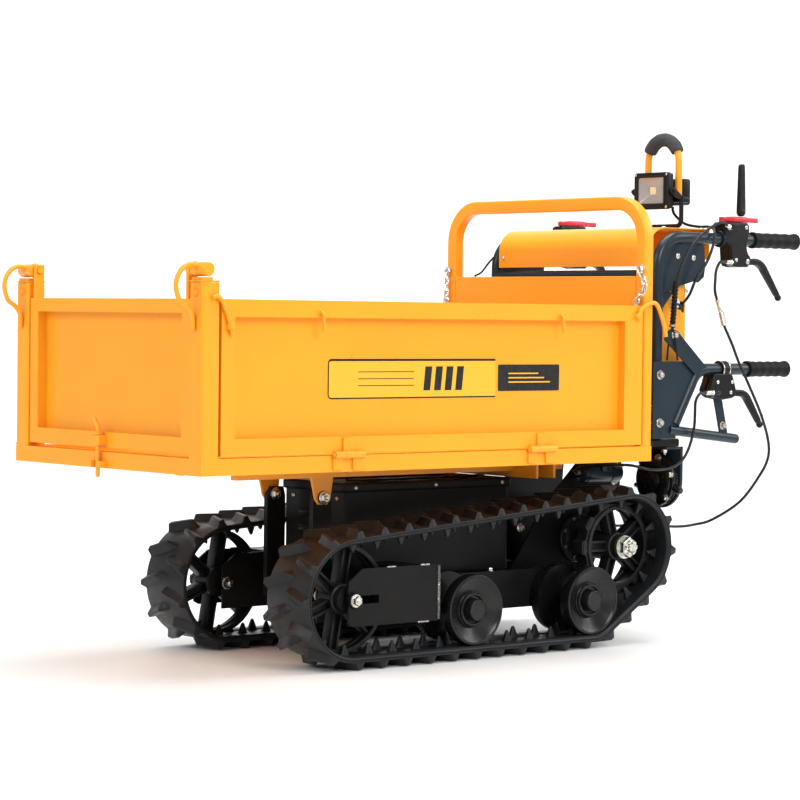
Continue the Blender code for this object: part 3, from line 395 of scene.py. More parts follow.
look("yellow_paint", (0.93, 0.372, 0.014), 0.32, mottle=0.035, mottle_scale=4.0, rough_swing=0.05,
     grain_scale=420.0, grain=0.22, grain_depth=0.0003, coat=0.1, specular=0.38)
look("black_paint", (0.0075, 0.007, 0.0068), 0.38, mottle=0.25, mottle_scale=7.0, rough_swing=0.08,
     grain_scale=520.0, grain=0.25, grain_depth=0.0003, dust=0.02, specular=0.16)
look("dark_cast", (0.0085, 0.0085, 0.0088), 0.42, mottle=0.25, mottle_scale=20.0, rough_swing=0.1,
     grain_scale=700.0, grain=0.5, grain_depth=0.0006, dust=0.03, specular=0.3)
look("motor_paint", (0.0065, 0.0063, 0.0063), 0.27, mottle=0.2, mottle_scale=12.0,
     grain_scale=600.0, grain=0.2, specular=0.35)
look("anthracite_paint", (0.01, 0.0205, 0.03), 0.32, mottle=0.1, mottle_scale=6.0,
     rough_swing=0.06, grain_scale=480.0, grain=0.25, grain_depth=0.0003, coat=0.1, specular=0.3)
look("rubber", (0.012, 0.0135, 0.0155), 0.4, mottle=0.3, mottle_scale=11.0, rough_swing=0.1,
     grain_scale=260.0, grain=0.3, grain_depth=0.0006, tint=(0.014, 0.0155, 0.0175), dust=0.03,
     specular=0.3)
look("grip_rubber", (0.006, 0.006, 0.0064), 0.52, mottle=0.15, mottle_scale=30.0,
     grain_scale=1400.0, grain=0.5, grain_depth=0.0004, specular=0.18)
look("black_plastic", (0.0065, 0.0065, 0.007), 0.36, mottle=0.15, mottle_scale=25.0,
     grain_scale=1700.0, grain=0.3, grain_depth=0.0002, specular=0.26)
look("cable_sheath", (0.008, 0.008, 0.0085), 0.34, mottle=0.1, mottle_scale=40.0,
     grain_scale=900.0, grain=0.15, specular=0.35)
look("red_plastic", (0.62, 0.018, 0.035), 0.28, mottle=0.06, mottle_scale=20.0, grain_scale=1200.0,
     grain=0.15)
look("zinc", (0.66, 0.66, 0.64), 0.26, metal=1.0, mottle=0.12, mottle_scale=60.0, rough_swing=0.12,
     grain_scale=900.0, grain=0.25, tint=(0.72, 0.69, 0.6))
look("bare_weld", (0.3, 0.29, 0.28), 0.38, metal=1.0, mottle=0.35, mottle_scale=120.0,
     rough_swing=0.15, grain_scale=700.0, grain=0.4)
look("foam", (0.045, 0.047, 0.052), 0.92, mottle=0.3, mottle_scale=160.0, grain_scale=700.0,
     grain=0.9, grain_depth=0.0012)
look("reflector", (0.34, 0.34, 0.35), 0.2, metal=1.0, mottle=0.05, mottle_scale=40.0,
     grain_scale=300.0, grain=0.1)
look("led", (0.95, 0.84, 0.34), 0.45, mottle=0.08, mottle_scale=90.0, grain_scale=1500.0, grain=0.4)
look("decal_field", (0.98, 0.47, 0.03), 0.24, mottle=0.02, mottle_scale=5.0, rough_swing=0.03,
     grain_scale=300.0, grain=0.05)
look("decal_ink", (0.01, 0.01, 0.01), 0.3, mottle=0.1, mottle_scale=30.0, grain_scale=500.0,
     grain=0.08)
look("badge", (0.012, 0.012, 0.011), 0.26, mottle=0.1, mottle_scale=25.0, grain_scale=500.0,
     grain=0.08)
look("white_plastic", (0.72, 0.72, 0.7), 0.4, mottle=0.04, mottle_scale=30.0, grain_scale=900.0,
     grain=0.2)


def glass_look(name, tint):
    """Clear lens glass with a faint unevenness."""
    mat = look(name, tint, 0.05, mottle=0.02, mottle_scale=30.0, rough_swing=0.02,
               grain_scale=60.0, grain=0.02)
    shader = mat.node_tree.nodes["Principled BSDF"]
    shader.inputs["Alpha"].default_value = 0.16
    shader.inputs["IOR"].default_value = 1.45
    return mat


glass_look("lamp_glass", (0.8, 0.82, 0.8))


def finish_cad_node(obj, look_name, bevel):
    """A CAD node that stays: its finish, and rounded edges on its flat plates."""
    obj.data.materials.clear()
    obj.data.materials.append(LOOKS[look_name])
    weld_mod = obj.modifiers.new("weld", "WELD")
    weld_mod.merge_threshold = 0.00002
    if not bevel:
        return
    flat = obj.modifiers.new("flat", "DECIMATE")
    flat.decimate_type = "DISSOLVE"
    flat.angle_limit = math.radians(0.5)
    edge = obj.modifiers.new("edge", "BEVEL")
    edge.width = bevel
    edge.segments = 3
    edge.limit_method = "ANGLE"
    edge.angle_limit = math.radians(38)
    edge.harden_normals = False
    edge.use_clamp_overlap = True
    normal = obj.modifiers.new("normal", "WEIGHTED_NORMAL")
    normal.keep_sharp = False
    normal.weight = 80


# ---- tracks -----------------------------------------------------------------------------------
def belt_runs():
    """The belt's inside: the circles that it wraps and the angles where it meets them."""
    inner = IDLER[1] + DATUM - LUG - BELT
    circles = [(IDLER, inner), (SPROCKET, 0.103), ((WHEELS["rear"][0], 0.085), 0.074)]
    normals = []
    for (c0, r0), (c1, r1) in zip(circles, circles[1:] + circles[:1]):
        dx, dz = c1[0] - c0[0], c1[1] - c0[1]
        normals.append(math.atan2(dz, dx) - math.acos((r0 - r1) / math.hypot(dx, dz)))
    runs = []
    for i, (centre, radius) in enumerate(circles):
        start, end = normals[i - 1], normals[i]
        while end < start:
            end += 2 * math.pi
        following, next_radius = circles[(i + 1) % 3]
        p = Vector((centre[0] + radius * math.cos(end), centre[1] + radius * math.sin(end)))
        q = Vector((following[0] + next_radius * math.cos(end),
                    following[1] + next_radius * math.sin(end)))
        runs.append((centre, radius, start, end, p, q))
    return runs


RUNS = belt_runs()
BELT_LENGTH = sum(r * (b - a) + (q - p).length for _, r, a, b, p, q in RUNS)


def belt_point(s, across, height):
    """A point on the belt: s along its inside, across from its middle, height outward."""
    s %= BELT_LENGTH
    for centre, radius, start, end, p, q in RUNS:
        arc = radius * (end - start)
        if s <= arc:
            a = start + s / radius
            x, z = centre[0] + radius * math.cos(a), centre[1] + radius * math.sin(a)
            break
        s -= arc
        run = (q - p).length
        if s <= run:
            a = end
            x, z = p.lerp(q, s / run)
            break
        s -= run
    return Vector((x + height * math.cos(a), across, z + height * math.sin(a)))


# Half of the belt's section, across from its middle and up from its inside.
BELT_INSIDE = ((0.027, 0.0), (0.0285, -0.0018), (0.03, -0.0024), (0.0595, -0.0024), (0.0605, -0.002),
               (0.062, 0.0), (0.0638, 0.0008), (0.065, 0.003))
BELT_EDGE = ((0.065, 0.0036), (0.0636, 0.0044), (0.0636, 0.0054), (0.065, 0.0062), (0.065, 0.0076),
             (0.0642, 0.0088), (0.062, 0.0094))


def mirrored(points):
    """The points on the other side of the middle, in the opposite order."""
    return tuple((-a, b) for a, b in points[::-1])


BELT_SECTION = mirrored(BELT_INSIDE) + BELT_INSIDE + BELT_EDGE + mirrored(BELT_EDGE)

# Stations of one lug from the belt's edge to past its middle: distance from the middle,
# shift along the belt, half the base, half the top, height.
LUG_STATIONS = ((0.0649, -0.009, 0.0112, 0.003, 0.021), (0.064, -0.009, 0.0122, 0.004, 0.0226),
                (0.056, -0.007, 0.0125, 0.0038, 0.0231), (0.04, -0.002, 0.0128, 0.0034, 0.0238),
                (0.026, 0.002, 0.0128, 0.003, 0.0246), (0.017, 0.005, 0.0125, 0.0028, 0.0249),
                (0.011, 0.006, 0.012, 0.0026, 0.0247), (0.005, 0.007, 0.011, 0.0022, 0.019),
                (-0.001, 0.007, 0.008, 0.0018, 0.0135), (-0.007, 0.007, 0.005, 0.0012, 0.0102))
GUIDE_RINGS = ((0.013, 0.0064, 0.001), (0.0095, 0.0054, -0.004), (0.0062, 0.004, -0.013),
               (0.0036, 0.0026, -0.0205), (0.0014, 0.0012, -0.0232))


def add_lug(bm, mid, hand, start):
    """One tread bar on one half of the belt; hand is which half."""
    rows = []
    for v, shift, base, top, height in LUG_STATIONS:
        rise = height - 0.0088
        profile = ((-base, 0.0088), (-base * 0.8, 0.0088 + rise * 0.16),
                   (-top * 1.18, 0.0088 + rise * 0.9), (-top * 0.9, height),
                   (top * 0.9, height), (top * 1.18, 0.0088 + rise * 0.9),
                   (base * 0.8, 0.0088 + rise * 0.16), (base, 0.0088))
        rows.append([belt_point(start + shift + u, mid + hand * v, h) for u, h in profile])
    skin(bm, rows)


def build_track(tag, side):
    """The rubber belt with its tread lugs and two rows of guide teeth."""
    bm = bmesh.new()
    mid = side * TRACK_Y
    steps = LINKS * 8
    rows = [[belt_point(BELT_LENGTH * i / steps, mid + v, h) for v, h in BELT_SECTION]
            for i in range(steps)]
    skin(bm, rows, closed=True)
    pitch = BELT_LENGTH / LINKS
    for k in range(LINKS):
        for hand in (1, -1):
            start = (k + (0.0 if hand * side > 0 else 0.5)) * pitch
            add_lug(bm, mid, hand, start)
            rows = []
            for half_u, half_v, h in GUIDE_RINGS:
                shape = rounded_box(half_u, half_v, min(half_u, half_v) * 0.7, 2)
                rows.append([belt_point(k * pitch + u, mid + hand * 0.024 + v, h)
                             for u, v in shape])
            skin(bm, rows)
    piece("track_belt_" + tag, bm, "rubber", "chassis", ["track_" + tag], angle=38)


def turned_copy(bm, angle, centre):
    """Turns all of a mesh about the Y axis through centre."""
    bmesh.ops.rotate(bm, cent=centre, matrix=Matrix.Rotation(angle, 3, "Y"), verts=bm.verts)


def merge(bm, part):
    """Adds one mesh to another and frees it."""
    mesh = bpy.data.meshes.new("part")
    part.to_mesh(mesh)
    part.free()
    bm.from_mesh(mesh)
    bpy.data.meshes.remove(mesh)


def add_spokes(bm, centre, y0, count, inner, outer, start=0.0):
    """Double-ribbed cast spokes about a Y axis."""
    x, z = centre
    for i in range(count):
        part = bmesh.new()
        for offset in (-0.0085, 0.0085):
            box(part, (x + inner, x + outer), around(y0, 0.013),
                (z + offset - 0.0026, z + offset + 0.0026), 0.0012)
        box(part, (x + inner, x + outer), around(y0, 0.0045), around(z, 0.008), 0.001)
        turned_copy(part, start + 2 * math.pi * i / count, (x, y0, z))
        merge(bm, part)


def build_sprocket(tag, side):
    """Spoked drive sprocket, and the castle nut with its split pin on the gearbox's axle."""
    x, z = SPROCKET
    mid = side * TRACK_Y
    bm = bmesh.new()
    teeth = 11
    outline = []
    for i in range(teeth):
        for f, r in ((-0.36, 0.0905), (-0.3, 0.0925), (-0.25, 0.0985), (-0.2, SPROCKET_R),
                     (0.2, SPROCKET_R), (0.25, 0.0985), (0.3, 0.0925), (0.36, 0.0905)):
            a = 2 * math.pi * (i + f) / teeth
            outline.append((x + r * math.cos(a), z + r * math.sin(a)))
    plate(bm, outline, "XZ", mid - 0.015, mid + 0.015, 0.0014, [circle(x, z, 0.08, 66)])
    for y in (mid - 0.0185, mid + 0.0145):
        plate(bm, circle(x, z, 0.085, 88), "XZ", y, y + 0.004, 0.001,
              [circle(x, z, 0.0765, 66)])
    for i in range(teeth):
        part = bmesh.new()
        box(part, (x + 0.084, x + 0.0972), around(mid, 0.0165), around(z, 0.0125),
            0.0022)
        turned_copy(part, 2 * math.pi * i / teeth, (x, mid, z))
        merge(bm, part)
    add_spokes(bm, (x, z), mid, 5, 0.024, 0.0815, math.radians(70))
    lathe(bm, [(0.014, -0.0235), (0.0285, -0.0235), (0.03, -0.022), (0.03, 0.015),
               (0.0285, 0.0185), (0.0255, 0.02), (0.0245, 0.0225), (0.0245, 0.0335),
               (0.023, 0.035), (0.014, 0.035)],
          (x, mid, z), (0, side, 0), 48)
    piece("sprocket_casting_" + tag, bm, "dark_cast", "sprocket_" + tag, ["sprocket_" + tag])
    nut = bmesh.new()
    y = side * 0.2382
    lathe(nut, [(0, 0), (0.024, 0), (0.024, 0.0024), (0.02, 0.0026)], (x, y, z), (0, side, 0), 40)
    lathe(nut, [(0, 0.0015), (0.0212, 0.0015), (0.0212, 0.017), (0.0195, 0.0186), (0, 0.0186)],
          (x, y, z), (0, side, 0), 6, 0.25)
    for i in range(6):
        part = bmesh.new()
        low, high = beside(y, side, 0.018, 0.0232)
        box(part, (x + 0.0095, x + 0.0155), (low, high), around(z, 0.0042), 0.0008)
        turned_copy(part, 2 * math.pi * i / 6, (x, y, z))
        merge(nut, part)
    lathe(nut, [(0, 0.01), (0.0088, 0.01), (0.0088, 0.0255), (0.0078, 0.0265), (0, 0.0265)],
          (x, y, z), (0, side, 0), 24)
    tube(nut, [(x - 0.017, y + side * 0.0215, z + 0.002), (x + 0.018, y + side * 0.0215, z - 0.002)],
         0.0013, 10)
    piece("axle_nut_" + tag, nut, "zinc", "chassis")


def build_idler(tag, side):
    """Smooth front wheel with six spokes."""
    x, z = IDLER
    mid = side * TRACK_Y
    bm = bmesh.new()
    lathe(bm, [(0.0985, -0.0165), (0.103, -0.017), (0.1062, -0.0165), (IDLER_R, -0.015),
               (IDLER_R, 0.015), (0.1062, 0.0165), (0.103, 0.017), (0.0985, 0.0165),
               (0.0972, 0.015), (0.0972, 0.003), (0.095, 0.0015), (0.095, -0.0015),
               (0.0972, -0.003), (0.0972, -0.015), (0.0985, -0.0165)],
          (x, mid, z), "Y", 88)
    add_spokes(bm, (x, z), mid, 6, 0.022, 0.0975, math.radians(20))
    lathe(bm, [(0.0115, -0.0235), (0.027, -0.0235), (0.03, -0.0205), (0.03, 0.018),
               (0.0285, 0.02), (0.026, 0.0215), (0.0255, 0.033), (0.024, 0.035),
               (0.0115, 0.035)],
          (x, mid, z), (0, side, 0), 48)
    piece("idler_casting_" + tag, bm, "dark_cast", "idler_" + tag, ["idler_" + tag])


def build_road_wheel(which, tag, side):
    """Two dished discs on one axle, with a hub cap on the outside."""
    x, z = WHEELS[which]
    mid = side * TRACK_Y
    r = WHEEL_R
    bm = bmesh.new()
    outer = [(0.0, 0.031), (r - 0.003, 0.031), (r - 0.0008, 0.0316), (r, 0.0335), (r, 0.055),
             (r - 0.0008, 0.0566), (r - 0.0022, 0.0572), (r - 0.0042, 0.057), (r - 0.0054, 0.0556),
             (0.06, 0.053), (0.048, 0.0482), (0.035, 0.043), (0.0338, 0.044), (0.0332, 0.0488),
             (0.0318, 0.0502), (0.0288, 0.0502), (0.0274, 0.0488), (0.0268, 0.0445), (0.023, 0.044),
             (0.0222, 0.0452), (0.022, 0.061), (0.0212, 0.0632), (0.0198, 0.0642),
             (0.0186, 0.0638), (0.0178, 0.0626), (0.0, 0.0628)]
    lathe(bm, outer, (x, mid, z), (0, side, 0), 72)
    back = [(0.0, -0.031), (r - 0.003, -0.031), (r - 0.0008, -0.0316), (r, -0.0335),
            (r, -0.0545), (r - 0.001, -0.0565), (r - 0.003, -0.0572), (r - 0.0064, -0.057),
            (r - 0.0078, -0.055), (0.045, -0.05), (0.03, -0.048), (0.026, -0.053),
            (0.019, -0.056), (0.0105, -0.0565), (0.0105, -0.0725), (0.0, -0.073)]
    lathe(bm, back, (x, mid, z), (0, side, 0), 72)
    disc(bm, 0.0105, -0.0312, 0.0312, (x, mid, z), (0, side, 0), 24)
    name = "road_wheel_%s_%s" % (which, tag)
    piece(name.replace("wheel", "wheel_discs"), bm, "motor_paint", name, [name])


def build_tensioner_trim(tag, side):
    """The bright axle bolt and inner nut, the weld down the rear edge and its short stitches."""
    x, z = IDLER
    face = TRACK_Y + 0.051
    bm = bmesh.new()
    bolt(bm, (x, side * (face + 0.0075), z), (0, side, 0), 0.017, 0.009, stud=0.003)
    disc(bm, 0.0125, 0, 0.003, (x, side * (face + 0.007), z), (0, side, 0), 32)
    bolt(bm, (x, side * (TRACK_Y - 0.0512), z), (0, -side, 0), 0.017, 0.009, stud=0.002)
    piece("idler_bolt_" + tag, bm, "zinc", "chassis")
    seams = bmesh.new()
    y = side * (face - 0.001)
    weld(seams, [(0.1805, y, 0.072), (0.1805, y, 0.125), (0.1805, y, 0.1775)], 0.0042)
    for x0 in (0.205, 0.29):
        weld(seams, [(x0, y, 0.1797), (x0 + 0.022, y, 0.1797)], 0.002)
    weld(seams, [(0.205, y, 0.0688), (0.232, y, 0.0688)], 0.002)
    piece("tensioner_weld_" + tag, seams, "bare_weld", "chassis")


# ---- chassis ----------------------------------------------------------------------------------
def build_chassis_hardware():
    """Pivot nuts, lid screws, frame bolts and the small fittings along the chassis."""
    bright = bmesh.new()
    dark = bmesh.new()
    x, z = PIVOT
    for side in (1, -1):
        disc(dark, 0.0135, 0, 0.0022, (x, side * 0.0884, z), (0, side, 0), 28)
        bolt(bright, (x, side * 0.0906, z), (0, side, 0), 0.017, 0.008, stud=0.004)
        bolt(bright, (x - 0.002, side * 0.068, z - 0.001), (0, -side, 0), 0.017, 0.008, stud=0.003)
        for zb in (0.15, 0.185):
            bolt(bright, (0.3355, side * 0.08, zb), (0, side, 0), 0.01, 0.005)
        for xs in (-0.12, 0.06, 0.268):
            screw(bright, (xs, side * 0.1015, 0.322), (0, side, 0), 0.0045)
        for xs in (-0.06, 0.185):
            bolt(bright, (xs, side * 0.1345, 0.144), (0, 0, 1), 0.01, 0.005, turn=0.8)
        for xs, zs in ((-0.2, 0.125), (-0.18, 0.225), (-0.36, 0.335), (-0.45, 0.35), (-0.45, 0.315)):
            bolt(bright, (xs, side * 0.0925, zs), (0, side, 0), 0.012, 0.006)
        for xs in (-0.462, -0.4):
            for ys in (0.12, 0.226):
                bolt(bright, (xs, side * ys, 0.4115), (0, 0, 1), 0.012, 0.006)
    for ys in (-0.07, 0.07):
        for zs in (0.16, 0.3):
            screw(bright, (0.2905, ys, zs), (1, 0, 0), 0.0045)
    piece("chassis_bolts", bright, "zinc", "chassis")
    for ys in (-0.045, 0.045):
        plate(dark, [(-0.09, ys - 0.012), (0.24, ys - 0.012), (0.24, ys + 0.012), (-0.09, ys + 0.012)],
              "XY", 0.3322, 0.335, 0.001)
    for zs in (0.17, 0.2, 0.23, 0.26):
        box(dark, (0.2903, 0.2935), (-0.05, 0.05), (zs, zs + 0.012), 0.0015)
    piece("battery_box_ribs", dark, "black_paint", "chassis")


def build_gearbox_trim():
    """Flanges, cover bolts and cooling ribs of the drive gearbox."""
    x, z = SPROCKET
    bm = bmesh.new()
    for side in (1, -1):
        lathe(bm, [(0, 0), (0.05, 0), (0.052, 0.002), (0.052, 0.008), (0.05, 0.01),
                   (0.04, 0.011), (0.036, 0.016), (0, 0.016)],
              (x, side * 0.093, z + 0.01), (0, side, 0), 48)
    for i in range(6):
        y = -0.0625 + 0.025 * i
        box(bm, (x - 0.07, x - 0.0645), around(y, 0.002), (0.155, 0.262), 0.0012)
    piece("gearbox_flanges", bm, "dark_cast", "chassis")
    bolts = bmesh.new()
    for side in (1, -1):
        for i in range(8):
            a = 2 * math.pi * (i + 0.5) / 8
            bolt(bolts, (x + 0.044 * math.cos(a), side * 0.1038, z + 0.01 + 0.044 * math.sin(a)),
                 (0, side, 0), 0.008, 0.004, washer=False)
    piece("gearbox_bolts", bolts, "zinc", "chassis")


def build_drive_motor(tag, side):
    """Round motor with a ribbed rim, a bolt circle and its lead gland."""
    y, z = side * DRIVE_MOTOR[0], DRIVE_MOTOR[1]
    bm = bmesh.new()
    lathe(bm, [(0, 0), (0.0535, 0), (0.056, 0.0015), (0.056, 0.006), (0.0535, 0.0075),
               (0.0535, 0.011), (0.056, 0.0125), (0.056, 0.0165), (0.054, 0.018),
               (0.0465, 0.018), (0.045, 0.0195), (0.045, 0.0255), (0.043, 0.0262),
               (0.03, 0.0262), (0.029, 0.0245), (0.02, 0.0245), (0.018, 0.0262),
               (0.018, 0.033), (0.016, 0.034), (0, 0.034)],
          (-0.484, y, z), "X", 72)
    for i in range(24):
        part = bmesh.new()
        box(part, (-0.483, -0.467), around(y, 0.0012), (z + 0.05, z + 0.0562), 0.0005, 1)
        bmesh.ops.rotate(part, cent=(0, y, z), matrix=Matrix.Rotation(2 * math.pi * i / 24, 3, "X"),
                         verts=part.verts)
        merge(bm, part)
    plate(bm, [(-0.484, 0.391), (-0.45, 0.391), (-0.484, 0.356)], "XZ",
          *span(side, 0.139, 0.143), 0.0008)
    cap(bm, 0.009, 0.014, 0.006, 0.02, (-0.475, y + side * 0.052, z - 0.015), (0, side, -0.3), 20)
    name = "drive_motor_" + tag
    piece("motor_shell_" + tag, bm, "motor_paint", "chassis", [name])
    hanger = bmesh.new()
    outline = [(y + 0.06 * math.cos(a), z - 0.06 * math.sin(a))
               for a in (math.pi * i / 28 for i in range(29))]
    outline += [(y - 0.06, 0.3945), (y + 0.06, 0.3945)]
    plate(hanger, outline, "YZ", -0.491, -0.4838, 0.0012)
    box(hanger, (-0.491, -0.44), span(side, 0.138, 0.258), (0.389, 0.3945), 0.0012)
    piece("motor_hanger_" + tag, hanger, "anthracite_paint", "chassis")
    bolts = bmesh.new()
    for i in range(6):
        a = 2 * math.pi * (i + 0.25) / 6
        at = (-0.466, y + 0.05 * math.cos(a), z + 0.05 * math.sin(a))
        bolt(bolts, at, (1, 0, 0), 0.01, 0.006)
        back = (-0.491, y + 0.034 * math.cos(a), z + 0.034 * math.sin(a))
        bolt(bolts, back, (-1, 0, 0), 0.01, 0.005)
    bolt(bolts, (-0.462, side * 0.232, 0.3888), (0, 0, -1), 0.012, 0.006, stud=0.004)
    piece("motor_bolts_" + tag, bolts, "zinc", "chassis")


def build_tip_motor():
    """The tipping drive's motor: a banded tube with its terminal box and bolts."""
    bm = bmesh.new()
    lathe(bm, [(0, 0), (0.0165, 0), (0.019, 0.0015), (0.02, 0.004), (0.02, 0.028),
               (0.0185, 0.029), (0.0185, 0.031), (0.02, 0.032), (0.02, 0.098),
               (0.0185, 0.099), (0.0185, 0.101), (0.0195, 0.102), (0.0195, 0.108),
               (0.017, 0.11), (0, 0.11)], (-0.44, 0.1145, 0.334), "X", 40)
    box(bm, (-0.425, -0.345), (0.093, 0.106), (0.318, 0.35), 0.002)
    box(bm, (-0.4, -0.372), (0.118, 0.139), (0.338, 0.3565), 0.003)
    piece("tip_motor_shell", bm, "anthracite_paint", "chassis", ["tip_motor"])
    bolts = bmesh.new()
    for x in (-0.4445, -0.33):
        for zs in (-0.012, 0.012):
            bolt(bolts, (x, 0.1145 + zs * 0.4, 0.334 + zs), (-1 if x < -0.4 else 1, 0, 0), 0.007,
                 0.0035, washer=False)
    for xs in (-0.414, -0.356):
        bolt(bolts, (xs, 0.1062, 0.344), (0, 1, 0), 0.011, 0.006)
    piece("tip_motor_bolts", bolts, "zinc", "chassis")


# ---- load box -----------------------------------------------------------------------------------
def build_hoop():
    """Square-section guard hoop with feet on the rear rail."""
    inset = 0.014
    w, top, r = 0.31 - inset, 0.915 - inset, 0.09 - inset
    path = bend([(HOOP_X, -w, 0.4015), (HOOP_X, -w, top), (HOOP_X, w, top), (HOOP_X, w, 0.4015)], r,
                16)
    bm = bmesh.new()
    sweep(bm, path, rounded_box(0.0125, inset, 0.0042, 4), up=(1, 0, 0))
    piece("hoop_tube", bm, "yellow_paint", "load_box", ["roll_hoop"], angle=30)


def add_link(bm, at, along, flat_side, length=0.0175, half=0.0052, wire=0.0017):
    """One chain link, a stadium of wire."""
    along = Vector(along).normalized()
    side = Vector(flat_side)
    side = (side - along * side.dot(along)).normalized()
    reach = length / 2 - half
    loop = []
    for i in range(20):
        a = 2 * math.pi * i / 20
        shift = reach if math.cos(a) >= 0 else -reach
        loop.append(Vector(at) + along * (half * math.cos(a) + shift) + side * (half * math.sin(a)))
    tube(bm, loop, wire, 8, closed=True)


def build_chain(tag, side):
    """Short chain from the hoop's leg to the side gate's rear corner, with a ring at each end."""
    bm = bmesh.new()
    near = side > 0
    x = -0.312
    top = Vector((x, side * 0.301, 0.762))
    turn = Vector((x + 0.001, side * (0.3165 if near else 0.301), 0.729))
    low = Vector((x + 0.003, side * (0.296 if near else 0.3005), 0.699))
    path = smooth([top, turn, low], 0.0004)
    travelled = 0.0
    count = 0
    for p, q in zip(path, path[1:]):
        travelled += (q - p).length
        if travelled >= 0.0132 * count:
            along = (q - p).normalized()
            flat = Vector((1, 0, 0)) if count % 2 else along.cross(Vector((1, 0, 0)))
            add_link(bm, p, along, flat, 0.018, 0.0056, 0.0019)
            count += 1
    for at in (top, low):
        tube(bm, [(at.x, at.y + p, at.z + q) for p, q in ring(0.0072, 24)], 0.002, 8, closed=True)
    lathe(bm, [(0, 0), (0.0058, 0), (0.0058, 0.003), (0.003, 0.0036), (0.003, 0.011), (0, 0.011)],
          (low.x, low.y, 0.6885), (0, 0, 1), 20)
    bolt(bm, (-0.3185, top.y, top.z + 0.004), (1, 0, 0), 0.01, 0.004)
    piece("chain_" + tag, bm, "zinc", "load_box")


def build_gate_trim(tag, side):
    """Rope hooks, the front and rear latch rods and the hinge pins of a side gate."""
    body = "side_gate_" + tag
    rods = bmesh.new()
    face = BOX_FACE
    for x in (0.526, -0.082):
        path = bend([(x, side * (face - 0.004), 0.667), (x, side * (face + 0.0085), 0.667),
                     (x - 0.003, side * (face + 0.0085), 0.632)], 0.006, 6)
        tube(rods, path, 0.0036, 16)
        lathe(rods, [(0.004, 0), (0.0065, 0), (0.005, 0.0022), (0.004, 0.0022)],
              (x, side * face, 0.667), (0, side, 0), 20)
    piece("rope_hooks_" + tag, rods, "yellow_paint", body)
    latch = bmesh.new()
    y = side * 0.3158
    lower = smooth([(0.7315, y, 0.624), (0.737, y, 0.645), (0.745, y, 0.666), (0.756, y, 0.686),
                    (0.766, y, 0.694), (0.776, y, 0.691)], 0.003)
    tube(latch, lower, 0.0042, 18)
    cap(latch, 0.0073, 0.009, 0.006, 0.0109, (0.7352, side * 0.3103, 0.64), (0, side, 0), 28)
    piece("front_rod_" + tag, latch, "yellow_paint", body, ["side_latch_" + tag])
    rear = bmesh.new()
    path = smooth([(-0.296, y, 0.664), (-0.301, y, 0.678), (-0.317, y, 0.69), (-0.337, y, 0.695),
                   (-0.349, y, 0.69), (-0.361, y, 0.67), (-0.37, y, 0.647),
                   (-0.375, y, 0.626)], 0.003)
    tube(rear, path, 0.0045, 16)
    cap(rear, 0.0072, 0.0085, 0.0058, 0.0105, (-0.2965, side * 0.3103, 0.666), (0, side, 0), 24)
    piece("rear_rod_" + tag, rear, "yellow_paint", body)
    pins = bmesh.new()
    hy, hz = GATE_HINGE
    for xc in HINGES:
        for end, way in ((xc - 0.0355, -1), (xc + 0.0355, 1)):
            cap(pins, 0.004, 0.0016, 0.0028, 0.0026, (end, side * hy, hz), (way, 0, 0), 16)
    piece("hinge_pins_" + tag, pins, "yellow_paint", "load_box")


def rounded_rectangle(x, z, corner, steps=6):
    """An outline in X and Z between limits, with round corners."""
    (x0, x1), (z0, z1) = x, z
    half_x, half_z = (x1 - x0) / 2, (z1 - z0) / 2
    return [((x0 + x1) / 2 + a, (z0 + z1) / 2 + b)
            for a, b in rounded_box(half_x, half_z, corner, steps)]


def build_decals(tag, side):
    """A printed field with its border, thin lines and slanted bars, and a dark badge with stripes."""
    body = "side_gate_" + tag
    left, right, low_z, high_z, bend = 0.493, 0.074, 0.5052, 0.5806, 0.0085
    bm = bmesh.new()
    plate(bm, rounded_rectangle((right, left - 0.0006), (low_z + 0.0006, high_z - 0.0006), 0.006), "XZ",
          *span(side, SHEET_FACE, 0.2919), 0.0001)
    piece("side_field_" + tag, bm, "decal_field", body)
    ink = bmesh.new()
    low, high = span(side, 0.29195, 0.2922)
    outer, inner = [(right, high_z)], [(right, high_z - 0.0042)]
    for z, thick, sign, start in ((high_z, 0.0042, 1, 90), (low_z, 0.0026, -1, 0)):
        for step in range(7):
            turn = math.radians(start - 15 * step)
            a, b = math.cos(turn), math.sin(turn)
            outer.append((left - bend + bend * a, z - sign * bend + bend * b))
            inner.append((left - bend + (bend - 0.0024) * a, z - sign * bend + (bend - thick) * b))
    outer.append((right, low_z))
    inner.append((right, low_z + 0.0026))
    plate(ink, outer + inner[::-1], "XZ", low, high, 0.0)
    for i in range(4):
        x, lean = 0.259 - 0.027 * i, 0.005
        bar = [(x, 0.52), (x - 0.017, 0.52), (x - 0.017 - lean, 0.566), (x - lean, 0.566)]
        plate(ink, bar, "XZ", low, high, 0.0)
    for z in (0.53, 0.543, 0.556):
        plate(ink, rounded_rectangle((0.283, 0.42), around(z, 0.0007), 0.0005), "XZ", low, high,
              0.0)
    piece("side_lines_" + tag, ink, "decal_ink", body)
    badge = bmesh.new()
    plate(badge, rounded_rectangle((-0.0975, 0.0665), (0.517, 0.569), 0.003), "XZ",
          *span(side, SHEET_FACE, 0.2926), 0.0002)
    piece("side_badge_" + tag, badge, "badge", body)
    stripe = bmesh.new()
    low, high = span(side, 0.2926, 0.2929)
    for i in range(3):
        z = 0.5345 + 0.0085 * i
        plate(stripe, rounded_rectangle((-0.072 + 0.016 * i, 0.04), around(z, 0.0013), 0.001),
              "XZ", low, high, 0.00005)
    piece("side_badge_stripes_" + tag, stripe, "decal_field", body)


